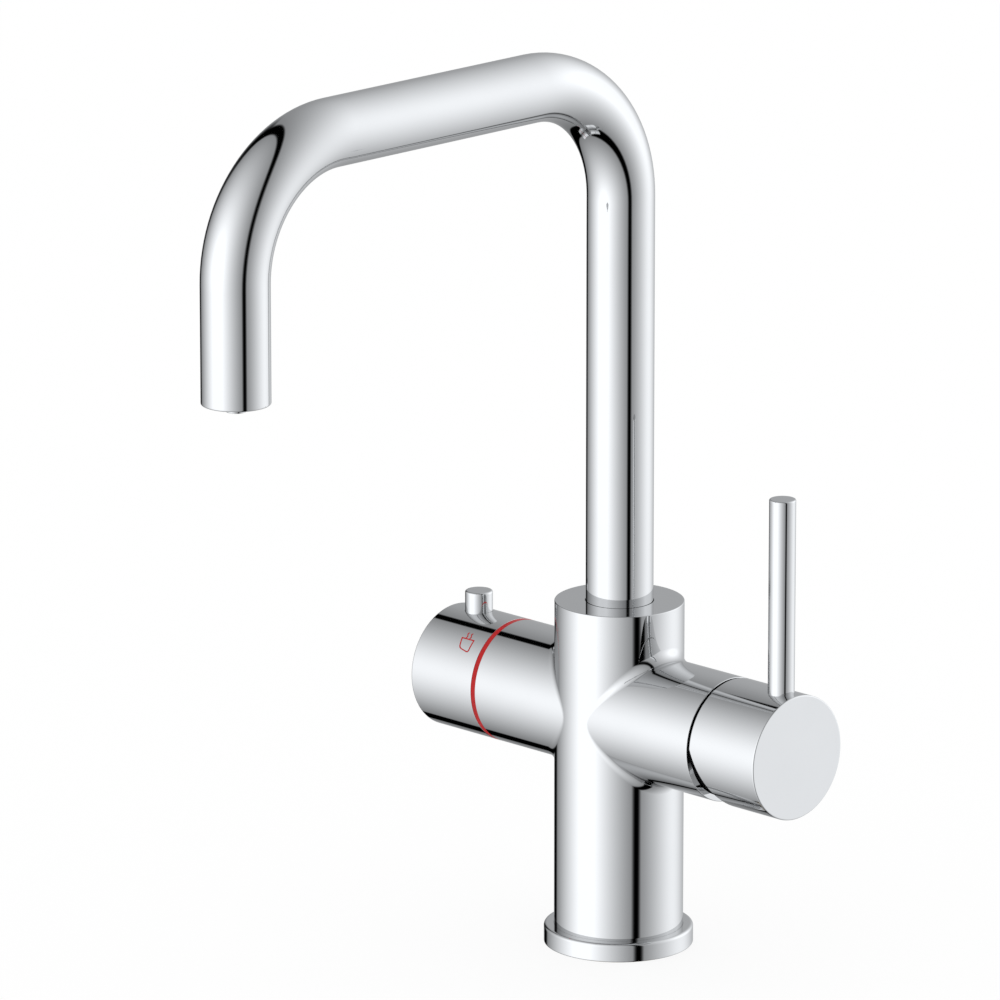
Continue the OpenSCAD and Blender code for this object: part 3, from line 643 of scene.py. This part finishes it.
def build_column(s):
    """The column's skin as a piece, with the retaining screw's hole in its back."""
    skin = column_skin(s)
    for v in skin.mesh.verts:
        v.co.z += s.branch_z
    true = [(v.co.copy(), skin.normals[v]) for v in skin.mesh.verts]
    bmesh.ops.recalc_face_normals(skin.mesh, faces=skin.mesh.faces)
    data = bpy.data.meshes.new("column_shell")
    skin.mesh.to_mesh(data)
    skin.mesh.free()
    piece = bpy.data.objects.new("column_shell", data)
    bpy.context.scene.collection.objects.link(piece)
    screw_r, screw_z = 2.5 * MM, 121 * MM
    cut(piece, turned("drill", [(screw_r, 13 * MM), (screw_r, 30 * MM)], HOLE,
                      (0, 0, screw_z), (-math.pi / 2, 0, 0)))
    polished(piece, 25)
    keep_true_normals(piece, true)
    return piece


def keep_true_normals(piece, true):
    """Gives the corners of the outer skin their exact normals, where the face agrees."""
    tree = KDTree(len(true))
    for i, (at, normal) in enumerate(true):
        tree.insert(at, i)
    tree.balance()
    data = piece.data
    normals = []
    for polygon in data.polygons:
        for corner in polygon.loop_indices:
            at = data.vertices[data.loops[corner].vertex_index].co
            found = Vector(data.corner_normals[corner].vector)
            _, i, far = tree.find(at)
            same_place, same_way = far < 2 * TOUCH, polygon.normal.dot(true[i][1]) > 0.9
            if same_place and same_way:
                found = true[i][1]
            normals.append(found)
    data.normals_split_custom_set(normals)


class TAP_OT_column(bpy.types.Operator):
    """Column with its branches and fillets, and the foot ring"""
    bl_idname = "tap.column"
    bl_label = "Column"

    def execute(self, context):
        s = sizes()
        fit(build_column(s), COLUMN, "chrome", "body")
        inner, seat, ledge = 19 * MM, s.column_r + 0.05 * MM, 2 * MM
        ring = turned("foot_ring", softened([
            (inner, ledge / 2), (inner, 0), (s.foot_r, 0, 0.4 * MM),
            (s.foot_r, s.foot_h, 1.0 * MM), (seat, s.foot_h), (seat, ledge), (inner, ledge),
            (inner, ledge / 2)]), WIDE, ring=True)
        fit(polished(ring), COLUMN, "chrome", "base_ring")
        return {"FINISHED"}


# ---- spout ----

def build_spout(s):
    """The tube: a circle drawn up the riser, round both bends, over the rim and back inside."""
    foot = 126 * MM
    piece = drawn_circle("spout_pipe", ROUND, s.tube_r, foot)

    def bend(y, z, degrees):
        bpy.ops.mesh.spin(steps=28, angle=math.radians(degrees), center=(0, y, z),
                          axis=(-1, 0, 0))

    def step_in(old, new, dz, z):
        go(0, 0, dz)
        k = new / old
        bpy.ops.transform.resize(value=(k, k, 1), center_override=(0, -s.reach, z))

    # hold and near_rim are short stretches beside the bends and the rim, which keep the
    # shading of the long ones even
    hold, near_rim, rim, chamfer = 1 * MM, 0.3 * MM, 0.5 * MM, 0.2 * MM
    high, low = s.run_z - s.bend_r, s.outlet_z
    near, far = -s.bend_r, s.bend_r - s.reach
    run = near - far
    go(0, 0, high - foot - hold)
    go(0, 0, hold)
    bend(near, high, 90)
    go(0, -hold, 0)
    go(0, -(run - 2 * hold), 0)
    go(0, -hold, 0)
    bend(far, high, 90)
    go(0, 0, -hold)
    go(0, 0, -(high - low - hold - rim - near_rim))
    go(0, 0, -near_rim)
    z, r = low + rim, s.tube_r
    for k in range(1, ROWS + 1):
        a = k * math.pi / 2 / ROWS
        r1, z1 = s.tube_r - rim + rim * math.cos(a), low + rim - rim * math.sin(a)
        step_in(r, r1, z1 - z, z1)
        r, z = r1, z1
    bore = s.tube_r - s.tube_wall
    step_in(r, bore + chamfer, 0, z)
    step_in(bore + chamfer, bore, chamfer, z + chamfer)
    z += chamfer
    go(0, 0, high - z)
    bend(far, high, -90)
    go(0, run, 0)
    bend(near, high, -90)
    go(0, 0, foot - high)
    mesh = bmesh.from_edit_mesh(piece.data)
    ends = [e for e in mesh.edges if e.is_boundary]
    bpy.ops.mesh.select_all(action="DESELECT")
    bpy.ops.mesh.select_mode(type="EDGE")
    for e in ends:
        e.select = True
    bpy.ops.mesh.bridge_edge_loops()
    finish_mesh()
    return piece


class TAP_OT_spout(bpy.types.Operator):
    """Spout tube with its two bends and rounded rim, and the boiling-water nozzle"""
    bl_idname = "tap.spout"
    bl_label = "Spout"

    def execute(self, context):
        s = sizes()
        fit(polished(build_spout(s)), SPOUT, "chrome", "spout_tube")
        z = s.outlet_z
        tip, seat, stop, top = z - s.nozzle_drop, z + 0.2 * MM, z + 3 * MM, z + 11 * MM
        way, mouth, socket, outer = 2.2 * MM, 3.1 * MM, 3.02 * MM, 4.25 * MM
        nozzle = turned("boiling_jet", softened([
            (way, z), (way, tip + 1.6 * MM), (mouth, tip), (s.nozzle_r, tip, 0.2 * MM),
            (s.nozzle_r, seat), (outer, seat), (outer, top - 1 * MM), (3.6 * MM, top),
            (socket, top), (socket, stop), (way, stop), (way, z)],
            hold=0.1 * MM), SLIM, (0, -s.reach, 0), ring=True)
        fit(polished(nozzle), SPOUT, "chrome", "boiling_nozzle")
        return {"FINISHED"}


# ---- mixer knob ----

def arc(radius, start, end, count):
    """Pairs of radius and height on a circle round the axis, between two heights."""
    first, last = math.asin(start / radius), math.asin(end / radius)
    angles = [first + (last - first) * k / count for k in range(count + 1)]
    return [(radius * math.cos(a), radius * math.sin(a)) for a in angles]


def build_mixer_knob(s, axis, side):
    """The knob, a cup round the cartridge's head, with its slanted cut and the hole of the
    grub screw's plug."""
    stem, cup, floor = 4.02 * MM, 21.5 * MM, 71 * MM
    knob = turned("mixer_grip", softened([
        (stem, 78.5 * MM), (stem, floor), (cup, floor), (cup, s.knob_x),
        (s.branch_r, s.knob_x, 0.25 * MM), (s.branch_r, s.knob_end, 0.4 * MM),
        (1 * MM, s.knob_end)]), WIDE, axis, side)
    put_down()
    bpy.ops.mesh.primitive_cube_add(size=1)
    wedge = bpy.context.object
    thick, wide, tall = 20 * MM, 60 * MM, 40 * MM
    wedge.scale = (thick, wide, tall)
    bpy.ops.object.transform_apply(scale=True)
    bpy.ops.object.mode_set(mode="EDIT")
    bpy.ops.transform.translate(value=(-thick / 2, 0, -tall / 2))
    bpy.ops.object.mode_set(mode="OBJECT")
    wedge.rotation_euler = (0, -s.cut_slant, 0)
    wedge.location = (s.knob_x, 0, s.branch_z + s.cut_rise)
    bpy.ops.object.transform_apply(location=True, rotation=True)
    cut(knob, wedge)
    plug_r, plug_x = 3.2 * MM, 75 * MM
    cut(knob, turned("drill", [(plug_r, -30 * MM), (plug_r, -20 * MM)], HOLE,
                     (plug_x, 0, s.branch_z)))
    return polished(knob)


def build_dome(s, side):
    """The dome round the tilt axis, a thin shell with a hole for the cartridge's stem."""
    wall, hole, flange = 1.4 * MM, 9.8 * MM, 0.4 * MM
    inner = s.dome_r - wall
    outside = arc(s.dome_r, flange, math.sqrt(s.dome_r ** 2 - hole ** 2), 18)
    inside = arc(inner, math.sqrt(inner ** 2 - hole ** 2), flange, 12)
    return polished(turned("pivot_dome", outside + inside + outside[:1], WIDE,
                           (s.pivot_x, 0, s.branch_z), side, ring=True))


def build_lever(s):
    """The pin lever, with a thinner foot that sits in the knob."""
    foot_r, foot = 3 * MM, s.branch_z + 9 * MM
    shoulder = foot + 9 * MM
    return polished(turned("pin_lever", softened([
        (foot_r, foot), (foot_r, shoulder), (s.lever_r, shoulder),
        (s.lever_r, s.lever_top, 0.5 * MM), (0.5 * MM, s.lever_top)]),
        seat=(s.lever_x, 0, 0)))


class TAP_OT_mixer_knob(bpy.types.Operator):
    """Mixer knob with its slanted cut, the dome in it and the pin lever"""
    bl_idname = "tap.mixer_knob"
    bl_label = "Mixer knob"

    def execute(self, context):
        s = sizes()
        side, axis = (0, math.pi / 2, 0), (0, 0, s.branch_z)
        fit(build_mixer_knob(s, axis, side), MIXER, "chrome", "mixer_knob")
        # the dome is black plastic, whose black also stands in for the shade in the knob's gap:
        # painted shade
        fit(build_dome(s, side), COLUMN, "black_plastic", "dome_cover")
        fit(build_lever(s), MIXER, "chrome", "lever_rod")
        return {"FINISHED"}


# ---- boiling-water knob ----

def steam_stroke(x, stroke):
    """One wavy stroke of steam: a strip cut across, its rows pushed to and fro."""
    tall, rows, swing = 2.7 * MM, 8, 0.3 * MM
    strip = sheet(stroke, tall)
    mesh = bmesh.from_edit_mesh(strip.data)
    bpy.ops.mesh.select_all(action="DESELECT")
    bpy.ops.mesh.select_mode(type="EDGE")
    for e in mesh.edges:
        a, b = (v.co for v in e.verts)
        e.select = abs(a.x - b.x) < 0.1 * MM
    bpy.ops.mesh.subdivide(number_cuts=rows - 1)
    for k in range(rows + 1):
        at = (k / rows - 0.5) * tall
        choose(strip, lambda v: abs(v.y - at) < tall / rows / 3)
        sway = swing * math.sin(math.tau * k / rows)
        bpy.ops.transform.translate(value=(sway, 0, 0))
    bpy.ops.object.mode_set(mode="OBJECT")
    strip.location = (x, 4.2 * MM, 0)
    bpy.ops.object.transform_apply(location=True)
    return strip


def hot_cup(s, knob):
    """Small outline of a steaming cup on the knob's upper front side. Its strokes are cut on
    a sheet, then shrunk on to the knob."""
    stroke, wide, tall = 0.48 * MM, 6.7 * MM, 5.1 * MM
    cup = sheet(wide, tall)
    choose(cup, lambda v: v.y > 0)
    bpy.ops.transform.translate(value=(-0.7 * MM, 0.2 * MM, 0))
    choose(cup, lambda v: v.y < 0)
    bpy.ops.transform.resize(value=(0.82, 1, 1), center_override=(0, 0, 0))
    bpy.ops.transform.rotate(value=math.radians(12), orient_axis="Z",
                             center_override=(0, -tall / 2, 0))
    bpy.ops.mesh.bevel(offset=1.1 * MM, offset_type="OFFSET", segments=2, affect="VERTICES")
    bpy.ops.mesh.select_mode(type="FACE")
    bpy.ops.mesh.select_all(action="SELECT")
    bpy.ops.mesh.inset(thickness=stroke)
    bpy.ops.mesh.delete(type="FACE")
    bpy.ops.object.mode_set(mode="OBJECT")
    mark = joined("hot_cup_mark", cup, steam_stroke(-1.95 * MM, stroke),
                  steam_stroke(-0.1 * MM, stroke))
    open_up()
    bpy.ops.mesh.quads_convert_to_tris()
    bpy.ops.mesh.subdivide(number_cuts=2)
    bpy.ops.object.mode_set(mode="OBJECT")
    mark_x, lean, out = -62.6 * MM, math.radians(41.3), s.branch_r + 1 * MM
    mark.rotation_euler = (math.radians(90) - lean, 0, 0)
    mark.location = (mark_x, -out * math.cos(lean), s.branch_z + out * math.sin(lean))
    bpy.ops.object.transform_apply(location=True, rotation=True)
    modified(mark, "SHRINKWRAP", target=knob, wrap_method="NEAREST_SURFACEPOINT",
             wrap_mode="OUTSIDE_SURFACE", offset=0.03 * MM)
    return modified(mark, "SOLIDIFY", thickness=0.06 * MM, offset=0.0)


def press_spring(s):
    """The push pin's spring: a ring of wire run up in four turns, with its ends closed."""
    put_down()
    wire, sides, coil, turns, rise = 0.35 * MM, 12, 3.6 * MM, 4, 5.8 * MM
    low, steps = s.branch_z + 14 * MM, 36
    bpy.ops.mesh.primitive_circle_add(vertices=sides, radius=wire, location=(coil, 0, 0),
                                      rotation=(math.pi / 2, 0, 0))
    spring = bpy.context.object
    spring.name = "press_spring"
    bpy.ops.object.transform_apply(location=True, rotation=True)
    modified(spring, "SCREW", angle=math.tau, screw_offset=rise / turns, iterations=turns,
             steps=steps, render_steps=steps, axis="Z")
    open_up()
    bpy.ops.mesh.fill_holes(sides=sides)
    finish_mesh()
    spring.location = (-s.pin_s, 0, low)
    bpy.ops.object.transform_apply(location=True)
    polished(spring, 60)
    fit(spring, BOILING, "steel", "safety_spring")
    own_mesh(spring)


def build_boiling_knob(s, axis, side):
    """The knob, hollow round the valve's spindle, with the push pin's hole."""
    screw, stem, hub, hollow = 2.2 * MM, 4.02 * MM, 6.1 * MM, 20.5 * MM
    r, start, end, pocket = s.branch_r, s.boil_knob, s.boil_knob_end, 81.5 * MM
    knob = turned("boiling_grip", softened([
        (screw, 80 * MM), (screw, 67 * MM), (stem, 67 * MM), (stem, 58.5 * MM),
        (hub, 58.5 * MM), (hub, 78.5 * MM), (hollow, 78.5 * MM), (hollow, start),
        (r, start, 0.1 * MM), (r, end, 0.5 * MM), (21 * MM, end), (21 * MM, pocket),
        (screw, pocket), (screw, 80 * MM)]), WIDE, axis, side, ring=True)
    pin_hole = s.pin_r + 0.08 * MM
    cut(knob, turned("drill", [(pin_hole, s.branch_z + 16 * MM),
                               (pin_hole, s.branch_z + 40 * MM)], SLIM, (-s.pin_s, 0, 0)))
    return polished(knob)


def build_pin_guide(s):
    """The cup inside the knob in which the push pin slides."""
    foot_r, wall, pin_hole = 1.6 * MM, 7.2 * MM, s.pin_r + 0.08 * MM
    low, floor, top = 12.2 * MM, 13.6 * MM, 20.8 * MM
    return polished(turned("pin_guide", softened([
        (foot_r, 13 * MM), (foot_r, low), (wall, low), (wall, top), (pin_hole, top),
        (pin_hole, floor), (foot_r, floor), (foot_r, 13 * MM)]),
        SLIM, (-s.pin_s, 0, s.branch_z), ring=True))


def build_red_ring(s, axis, side):
    start, end, inner = s.boil_end, s.boil_end + s.ring_w, 15.2 * MM
    mid = start + s.ring_w / 2
    return polished(turned("red_band_ring", softened([
        (inner, mid), (inner, start), (s.branch_r, start, 0.08 * MM),
        (s.branch_r, end, 0.08 * MM), (inner, end), (inner, mid)], hold=0.1 * MM),
        WIDE, axis, side, ring=True))


def build_push_pin(s):
    """The push pin: a head, a thin stem and a foot that locks the knob."""
    head, stem, foot = s.branch_z + 20.2 * MM, 1.5 * MM, 2.6 * MM
    low, foot_low, foot_top = (s.branch_z + h * MM for h in (9.4, 9.7, 12.1))
    return polished(turned("push_button", softened([
        (stem, low), (stem, foot_low), (foot, foot_low), (foot, foot_top), (stem, foot_top),
        (stem, head), (s.pin_r, head), (s.pin_r, s.pin_top, 0.7 * MM),
        (0.5 * MM, s.pin_top)]), seat=(-s.pin_s, 0, 0)))


class TAP_OT_boiling_knob(bpy.types.Operator):
    """Boiling-water knob with its cap, red ring, hot-cup mark, push pin and spring"""
    bl_idname = "tap.boiling_knob"
    bl_label = "Boiling-water knob"

    def execute(self, context):
        s = sizes()
        side, axis = (0, -math.pi / 2, 0), (0, 0, s.branch_z)
        knob = build_boiling_knob(s, axis, side)
        mark = hot_cup(s, knob)
        knob = joined("boiling_grip", knob, build_pin_guide(s))
        fit(knob, BOILING, "chrome", "boiling_knob")
        fit(mark, BOILING, "red_band")
        cap_r, back, face = 20.95 * MM, 83.1 * MM, s.boil_knob_end
        cap = turned("grip_cap", softened([
            (1 * MM, back), (cap_r, back), (cap_r, face, 0.3 * MM), (1 * MM, face)]),
            WIDE, axis, side)
        fit(polished(cap), BOILING, "chrome", "knob_end_cap")
        fit(build_red_ring(s, axis, side), COLUMN, "red_band", "red_ring")
        fit(build_push_pin(s), PIN, "chrome", "safety_pin")
        press_spring(s)
        return {"FINISHED"}


# ---- under the worktop ----

def cut_thread(s, root):
    """The thread: one tooth drawn as a closed outline, run down the shank as a screw. Both
    ends run out into the core."""
    turns, steps = round((s.shank_l - 3 * MM) / s.pitch), 48
    foot, crest, base = -s.shank_l + 1 * MM, s.shank_r - 0.02 * MM, root - 0.05 * MM
    # the tooth's corners: radius, and height as a part of the pitch
    tooth = [(base, 0.06), (crest, 0.44), (crest, 0.56), (base, 0.94)]
    thread = sheet(s.pitch, s.pitch)
    mesh = bmesh.from_edit_mesh(thread.data)
    corners = list(mesh.verts)
    for i, (r, part) in zip((0, 1, 3, 2), tooth):
        corners[i].co = (r, 0, foot + part * s.pitch)
    bpy.ops.mesh.select_mode(type="FACE")
    bpy.ops.mesh.select_all(action="SELECT")
    bpy.ops.mesh.delete(type="ONLY_FACE")
    bpy.ops.object.mode_set(mode="OBJECT")
    modified(thread, "SCREW", angle=math.tau, screw_offset=s.pitch, iterations=turns,
             steps=steps, render_steps=steps, use_merge_vertices=True,
             merge_threshold=TOUCH, axis="Z")
    bpy.ops.object.mode_set(mode="EDIT")
    k = (root - 0.1 * MM) / s.shank_r
    for end, way in ((foot + s.pitch, 1), (foot + s.pitch * turns, -1)):
        choose(thread, lambda v: (end - v.z) * way > 0)
        bpy.ops.transform.resize(value=(k, k, 1), center_override=(0, 0, end))
    bpy.ops.mesh.select_all(action="SELECT")
    bpy.ops.mesh.fill_holes(sides=len(tooth))
    finish_mesh()
    return polished(thread, 25)


def build_shank(s):
    """The shank: a pipe with bevelled ends, and the thread on it."""
    root, bore, low = s.shank_r - 0.92 * MM, s.shank_bore, -s.shank_l
    core = turned("shank", [
        (bore, 0), (bore, low + 0.5 * MM), (bore + 0.5 * MM, low), (root, low),
        (root, -1 * MM), (s.shank_r, -0.5 * MM), (s.shank_r, s.shank_top),
        (bore, s.shank_top), (bore, 0)], ring=True)
    return joined("threaded_tail", polished(core), cut_thread(s, root))


def build_washer(s, name, top, thick, edge):
    inner, outer = s.shank_r + 0.2 * MM, 26 * MM
    return polished(turned(name, softened([
        (inner, top - thick / 2), (inner, top), (outer, top, edge),
        (outer, top - thick, edge), (inner, top - thick), (inner, top - thick / 2)]),
        ring=True))


def build_nut(s, top):
    """The hexagon nut: its corners are turned off, and its bore opens at both ends."""
    flats, thick = 46 * MM, 8 * MM
    put_down()
    bpy.ops.mesh.primitive_cylinder_add(vertices=6, radius=flats / math.sqrt(3), depth=thick,
                                        location=(0, 0, top - thick / 2))
    nut = bpy.context.object
    nut.name = "hexagon_nut"
    bpy.ops.object.transform_apply(location=True)
    face_r, corner_r, past = 23.4 * MM, 26.7 * MM, 0.01 * MM
    cut(nut, turned("lens", [
        (face_r, top - thick - past), (corner_r, top - thick + 2 * MM),
        (corner_r, top - 2 * MM), (face_r, top + past)]), "INTERSECT")
    narrow, wide, past = s.shank_r - 0.1 * MM, s.shank_r + 0.9 * MM, 0.1 * MM
    cut(nut, turned("drill", [
        (wide, top - thick - past), (narrow, top - thick + 0.9 * MM),
        (narrow, top - 0.9 * MM), (wide, top + past)]))
    modified(nut, "BEVEL", width=0.25 * MM, segments=2, limit_method="ANGLE",
             angle_limit=math.radians(40))
    return polished(nut, 25)


class TAP_OT_worktop_fixing(bpy.types.Operator):
    """Threaded shank, washers and nut under the worktop"""
    bl_idname = "tap.worktop_fixing"
    bl_label = "Worktop fixing"

    def execute(self, context):
        s = sizes()
        fit(build_shank(s), COLUMN, "brass", "threaded_shank")
        top = -s.worktop
        for name, thick, edge, slot, node in (
                ("soft_washer", 3 * MM, 0.5 * MM, "rubber", "rubber_washer"),
                ("plate_washer", 2 * MM, 0.3 * MM, "steel", "steel_washer")):
            fit(build_washer(s, name, top, thick, edge), COLUMN, slot, node)
            top -= thick
        fit(build_nut(s, top), COLUMN, "brass", "back_nut")
        return {"FINISHED"}


# ---- CAD nodes that stay ----

class TAP_OT_inner_parts(bpy.types.Operator):
    """Finishes of the cartridge, valve, seals and small fasteners that stay as built"""
    bl_idname = "tap.inner_parts"
    bl_label = "Inner parts"

    def execute(self, context):
        slots = {p["node"]: p["material_slot"] for p in frame["record"]["subparts"]}
        for node, piece in frame["nodes"].items():
            piece.data.materials.clear()
            piece.data.materials.append(finish(slots[node]))
        return {"FINISHED"}


# ---- stage ----

def fade(name, default):
    return bpy.props.FloatProperty(
        name=name, description="Loss of shade for each degree from the screen's middle",
        default=default, min=0.0, max=0.05, precision=4, subtype="FACTOR")


class TapStage(bpy.types.PropertyGroup):
    """Camera and studio light"""
    azimuth: angle("Camera azimuth", "Turn of the camera from the tap's front", 45.0)
    elevation: angle("Camera elevation", "Height of the camera above level", 15.08)
    distance: length("Camera distance", "Distance of the camera from its target", 3540.5 * MM)
    across: bpy.props.FloatProperty(
        name="Across", description="Target's offset along the picture's width",
        default=-44.01 * MM, subtype="DISTANCE", unit="LENGTH")
    target_z: length("Target height", "Height of the camera's target", 169.37 * MM)
    lens: bpy.props.FloatProperty(
        name="Lens", description="Focal length in millimetres on a 36 mm sensor",
        default=347.04, min=1.0, subtype="DISTANCE_CAMERA", unit="CAMERA")
    light: level("Light", "Level of the studio light on the tap", 1.0)
    mirrored: level("Mirrored light", "Brightness of the screens in the chrome", 1.525)
    near_turn: angle("Near screen turn", "Turn of the near screen's middle, from +X", -105.4)
    near_rise: angle("Near screen rise", "Height of the near screen's middle", -1.4)
    near_glow: level("Near screen glow", "Shade at its middle, before the cut at white", 1.175)
    near_fade: fade("Near screen fade", 0.0078)
    far_turn: angle("Far screen turn", "Turn of the far screen's middle, from +X", 69.3)
    far_rise: angle("Far screen rise", "Height of the far screen's middle", 8.7)
    far_glow: level("Far screen glow", "Shade at its middle, before the cut at white", 1.129)
    far_fade: fade("Far screen fade", 0.0075)
    gap_turn: angle("Gap turn", "Turn of the direction square to the dark gap", -109.6)


def set_camera(stage):
    a, e = stage.azimuth, stage.elevation
    back = Vector((math.sin(a) * math.cos(e), -math.cos(a) * math.cos(e), math.sin(e)))
    right = Vector((math.cos(a), math.sin(a), 0))
    target = right * stage.across + Vector((0, 0, stage.target_z))
    put_down()
    bpy.ops.object.camera_add(location=target + back * stage.distance,
                              rotation=(math.pi / 2 - e, 0, a))
    camera = bpy.context.object
    camera.name = "view_camera"
    camera.data.lens = stage.lens
    camera.data.sensor_width = 36.0
    camera.data.clip_start, camera.data.clip_end = 0.1, 50.0
    bpy.context.scene.camera = camera


def studio(tree, stage):
    """The studio that the chrome mirrors, by direction. Two round screens face each other
    across the tap. Each is white in its middle and fades evenly outwards, and the gap
    between them is dark. Angles are in degrees, and shades are as the eye sees them."""
    way = add(tree, "TexCoord")[0]
    z = add(tree, "SeparateXYZ", {}, way)[2]
    degree = 180 / math.pi

    def along(turn, rise=0.0):
        towards = (math.cos(rise) * math.cos(turn), math.cos(rise) * math.sin(turn),
                   math.sin(rise))
        return add(tree, "VectorMath", {"operation": "DOT_PRODUCT"}, way, towards)[1]

    def screen(turn, rise, glow, loss):
        off = along(turn, rise).math("ARCCOSINE") * degree
        return (glow - loss * off).math("MINIMUM", 1.0)

    near = screen(stage.near_turn, stage.near_rise, stage.near_glow, stage.near_fade)
    far = screen(stage.far_turn, stage.far_rise, stage.far_glow, stage.far_fade)
    # The gap leans, and it is wider and softer low down and at its far end.
    off = along(stage.gap_turn).math("ARCSINE") * degree
    aside = along(stage.gap_turn + math.pi / 2)
    end = (0 - aside).ramp(0.84, 0.97)
    middle = 4.6 * z - 2.6 * aside - 1.2 - 1.2 * end
    from_gap = (off - middle).math("ABSOLUTE")
    half = 5.0 - 2.1 * z - 0.3 * aside + 2.6 * end
    soft = 1.5 + 1.1 * aside + 2.2 * aside.math("POWER", 4.0) + 4.5 * end
    gap = 1 - from_gap.ramp(half - soft, half + soft)
    gap = gap * (1 - 0.3 * (0 - aside).ramp(0.95, 1.0))
    shade = near.math("MAXIMUM", far) * (1 - 0.98 * gap) + 0.01
    to_light = 2.2
    return shade.math("POWER", to_light)


def set_world(stage):
    world = bpy.data.worlds.new("studio")
    bpy.context.scene.world = world
    world.use_nodes = True
    tree = world.node_tree
    tree.nodes.clear()
    light = studio(tree, stage)
    # the screens are a trace cooler than white
    mirrored = add(tree, "CombineColor", {}, 0.983 * light, light, 1.022 * light)[0]
    plain = add(tree, "Background", {}, Color=(1, 1, 1), Strength=stage.light)[0]
    screens = add(tree, "Background", {}, Color=mirrored, Strength=stage.mirrored)[0]
    both = add(tree, "MixShader", {}, ray_kind(tree, "Is Glossy Ray"), plain, screens)[0]
    add(tree, "OutputWorld", {}, Surface=both)


def set_floor():
    """The floor, which the camera sees as mostly plain white with the tap's faint shadow."""
    put_down()
    bpy.ops.mesh.primitive_plane_add(size=12)
    floor = bpy.context.object
    floor.name = "worktop_floor"
    material = bpy.data.materials.new("pale_floor")
    material.use_nodes = True
    tree = material.node_tree
    shader = tree.nodes["Principled BSDF"]
    tint = colours().floor
    cloud = grain(tree, place(tree), 0.4).ramp(0.3, 0.7)
    tree.links.new(cloud.mix(tint, dim(tint, 0.995)).socket, shader.inputs["Base Color"])
    shader.inputs["Roughness"].default_value = 0.9
    shader.inputs["Specular IOR Level"].default_value = 0.0
    whitened = 0.85 * ray_kind(tree, "Is Camera Ray")
    white = add(tree, "Emission", {}, Color=(1, 1, 1), Strength=1.0)[0]
    both = add(tree, "MixShader", {}, whitened, Wire(tree, shader.outputs[0]), white)[0]
    tree.links.new(both.socket, tree.nodes["Material Output"].inputs["Surface"])
    floor.data.materials.append(material)
    floor.visible_glossy = False


class TAP_OT_stage(bpy.types.Operator):
    """Camera, studio light and pale floor"""
    bl_idname = "tap.stage"
    bl_label = "Stage"

    def execute(self, context):
        stage = context.scene.tap_stage
        set_camera(stage)
        set_world(stage)
        set_floor()
        context.scene.view_settings.view_transform = "Standard"
        return {"FINISHED"}


# ---- add-on ----

OPERATORS = (TAP_OT_inner_parts, TAP_OT_column, TAP_OT_spout, TAP_OT_mixer_knob,
             TAP_OT_boiling_knob, TAP_OT_worktop_fixing, TAP_OT_stage)


class TAP_PT_pieces(bpy.types.Panel):
    """Lists the tap's pieces"""
    bl_idname = "TAP_PT_pieces"
    bl_label = "Boiling water tap"
    bl_space_type = "VIEW_3D"
    bl_region_type = "UI"
    bl_category = "Tap"

    def draw(self, context):
        for operator in OPERATORS:
            self.layout.operator(operator.bl_idname)
        for group in (context.scene.tap_sizes, context.scene.tap_colours,
                      context.scene.tap_stage):
            column = self.layout.column(align=True)
            for key in group.bl_rna.properties.keys():
                if key not in {"rna_type", "name"}:
                    column.prop(group, key)


GROUPS = {"tap_sizes": TapSizes, "tap_colours": TapColours, "tap_stage": TapStage}


def register():
    for cls in (*GROUPS.values(), *OPERATORS, TAP_PT_pieces):
        bpy.utils.register_class(cls)
    for name, group in GROUPS.items():
        setattr(bpy.types.Scene, name, bpy.props.PointerProperty(type=group))


def unregister():
    for name in GROUPS:
        delattr(bpy.types.Scene, name)
    for cls in (TAP_PT_pieces, *reversed(OPERATORS), *reversed(GROUPS.values())):
        bpy.utils.unregister_class(cls)


def main():
    register()
    for operator in OPERATORS:
        getattr(bpy.ops.tap, operator.bl_idname.split(".")[1])()


if __name__ == "__main__":
    main()
